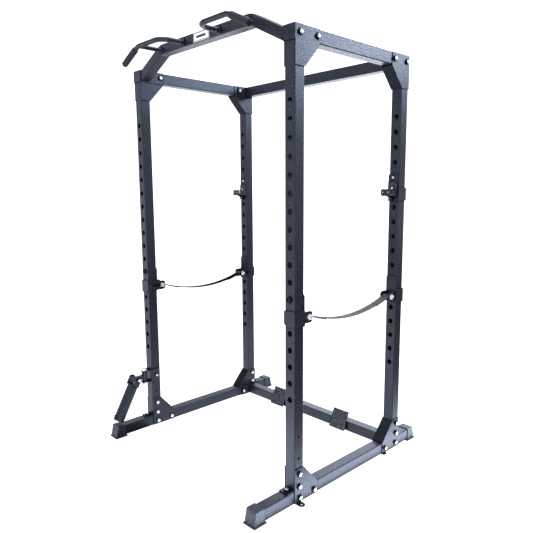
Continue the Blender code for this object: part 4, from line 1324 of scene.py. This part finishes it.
def area_light(name, place, target, size, energy, colour=(1, 1, 1)):
    light = bpy.data.lights.new(name, "AREA")
    light.shape = "RECTANGLE"
    light.size, light.size_y = size
    light.energy = energy
    light.color = colour
    holder = bpy.data.objects.new(name, light)
    holder.location = place
    holder.rotation_euler = (Vector(target) - Vector(place)).to_track_quat("-Z", "Y").to_euler()
    holder.visible_camera = False
    bpy.context.scene.collection.objects.link(holder)


def sheet_of(name, corners, mat):
    """A flat studio surface."""
    mesh = bpy.data.meshes.new(name)
    mesh.from_pydata(corners, [], [(0, 1, 2, 3)])
    mesh.materials.append(mat)
    made = bpy.data.objects.new(name, mesh)
    bpy.context.scene.collection.objects.link(made)
    return made


def build_studio():
    size = 40
    low = -0.0005
    paper = floor_paper()
    corners = [(-size, -size), (size, -size), (size, size), (-size, size)]
    sheet_of("studio_floor", [(x, y, low) for x, y in corners], paper)
    for side, (start, end) in enumerate(zip(corners, corners[1:] + corners[:1])):
        ring = [(*start, low), (*end, low), (*end, size), (*start, size)]
        wall = sheet_of(f"studio_wall_{side}", ring, paper)
        wall.visible_diffuse = wall.visible_glossy = False
        wall.visible_transmission = wall.visible_shadow = False
    flag = printed("black_flag", (0.004, 0.004, 0.005), (0.008, 0.008, 0.009), 0.9)
    cards = (
        ("flag_floor_right", (0.95, -0.6, 0.001), (9, 9, 0.001)),
        ("flag_left", (-6.0, -6.0, 0.0), (-2.2, -6.0, 0.9)),
        ("flag_toe", (-0.54, -0.66, 0.001), (-0.26, -0.36, 0.001)),
        ("flag_inside", (-0.95, -0.32, 0.8), (0.30, 0.40, 0.8)),
        ("flag_outside", (-4.2, -1.3, 0.001), (-2.0, 0.9, 0.001)),
    )
    for name, low, high in cards:
        card = sheet_of(name, [low, (high[0], *low[1:]), high, (low[0], *high[1:])], flag)
        card.visible_camera = False
    build_world()
    bpy.context.scene.view_settings.view_transform = "Standard"

    cool = (0.86, 0.92, 1.0)
    area_light("window_top_right", (2.8, 2.85, 2.95), (0.57, 0.2, 1.85), (1.5, 1.0), 74, cool)
    area_light("floor_strip_right", (0.665, 0.0, 0.002), (0.665, 0.0, 1.0), (0.13, 2.2), 4.8, cool)
    area_light("floor_strip_front", (0.20, -0.70, 0.002), (0.20, -0.70, 1.0), (0.6, 0.55), 1.8, cool)
    area_light("back_sky", (-2.2, 4.6, 2.5), (0, 0, 0), (4.0, 3.0), 105, cool)
    area_light("back_floor", (-3.2, 5.8, 0.002), (-3.2, 5.8, 1.0), (6.0, 5.0), 150, cool)
    area_light("overhead", (0.2, 0.0, 4.2), (0, 0, 0.5), (3.0, 3.0), 70)


def build_world():
    """A white cyclorama, open and dark on the side that the cage's right faces reflect, low down."""
    world = bpy.data.worlds.new("studio")
    world.use_nodes = True
    toward = add(world, "ShaderNodeTexCoord").outputs["Generated"]
    aside = add(world, "ShaderNodeVectorMath", {0: toward, 1: (0.76, 0.65, 0.0)}, operation="DOT_PRODUCT")
    dark_side = span(world, aside.outputs["Value"], 0.35, 0.80)
    above = add(world, "ShaderNodeVectorMath", {0: toward, 1: (-0.54, -0.26, 0.80)}, operation="DOT_PRODUCT")
    dark_above = span(world, above.outputs["Value"], 0.78, 0.93)
    height = add(world, "ShaderNodeSeparateXYZ", {0: toward}).outputs["Z"]
    rising = span(world, height, -0.08, 0.28, 0.05, 1.0)
    rising = math_node(world, "SUBTRACT", rising, dark_above)
    darkness = math_node(world, "MAXIMUM", dark_side, dark_above)
    colour = mixed(world, darkness, (1.0, 1.0, 1.0), (0.0, 0.0, 0.0))
    lifted = mixed(world, rising, (0.0, 0.0, 0.0), (0.92, 0.96, 1.0))
    shown = mixed(world, 1.0, colour, lifted, blend_type="LIGHTEN")
    background = world.node_tree.nodes["Background"]
    world.node_tree.links.new(shown, background.inputs["Color"])
    background.inputs["Strength"].default_value = 1.0
    bpy.context.scene.world = world


def build_camera():
    yaw, pitch, roll = (math.radians(a) for a in (46.18, 8.514, 0.314))
    forward = Vector((-math.sin(yaw) * math.cos(pitch), math.cos(yaw) * math.cos(pitch), -math.sin(pitch)))
    right = Vector((math.cos(yaw), math.sin(yaw), 0))
    down = forward.cross(right)
    across = right * math.cos(roll) + down * math.sin(roll)
    up = right * math.sin(roll) - down * math.cos(roll)
    camera = bpy.data.cameras.new("camera")
    camera.sensor_width = 36
    camera.lens = 36.656
    camera.shift_x = -0.0076
    camera.shift_y = 0.0092
    camera.clip_end = 200
    holder = bpy.data.objects.new("camera", camera)
    turn = Matrix((across, up, -forward)).transposed().to_4x4()
    holder.matrix_world = Matrix.Translation((2.0312, -1.87355, 1.3129)) @ turn
    bpy.context.scene.collection.objects.link(holder)
    bpy.context.scene.camera = holder


build_cage()
build_studio()
build_camera()
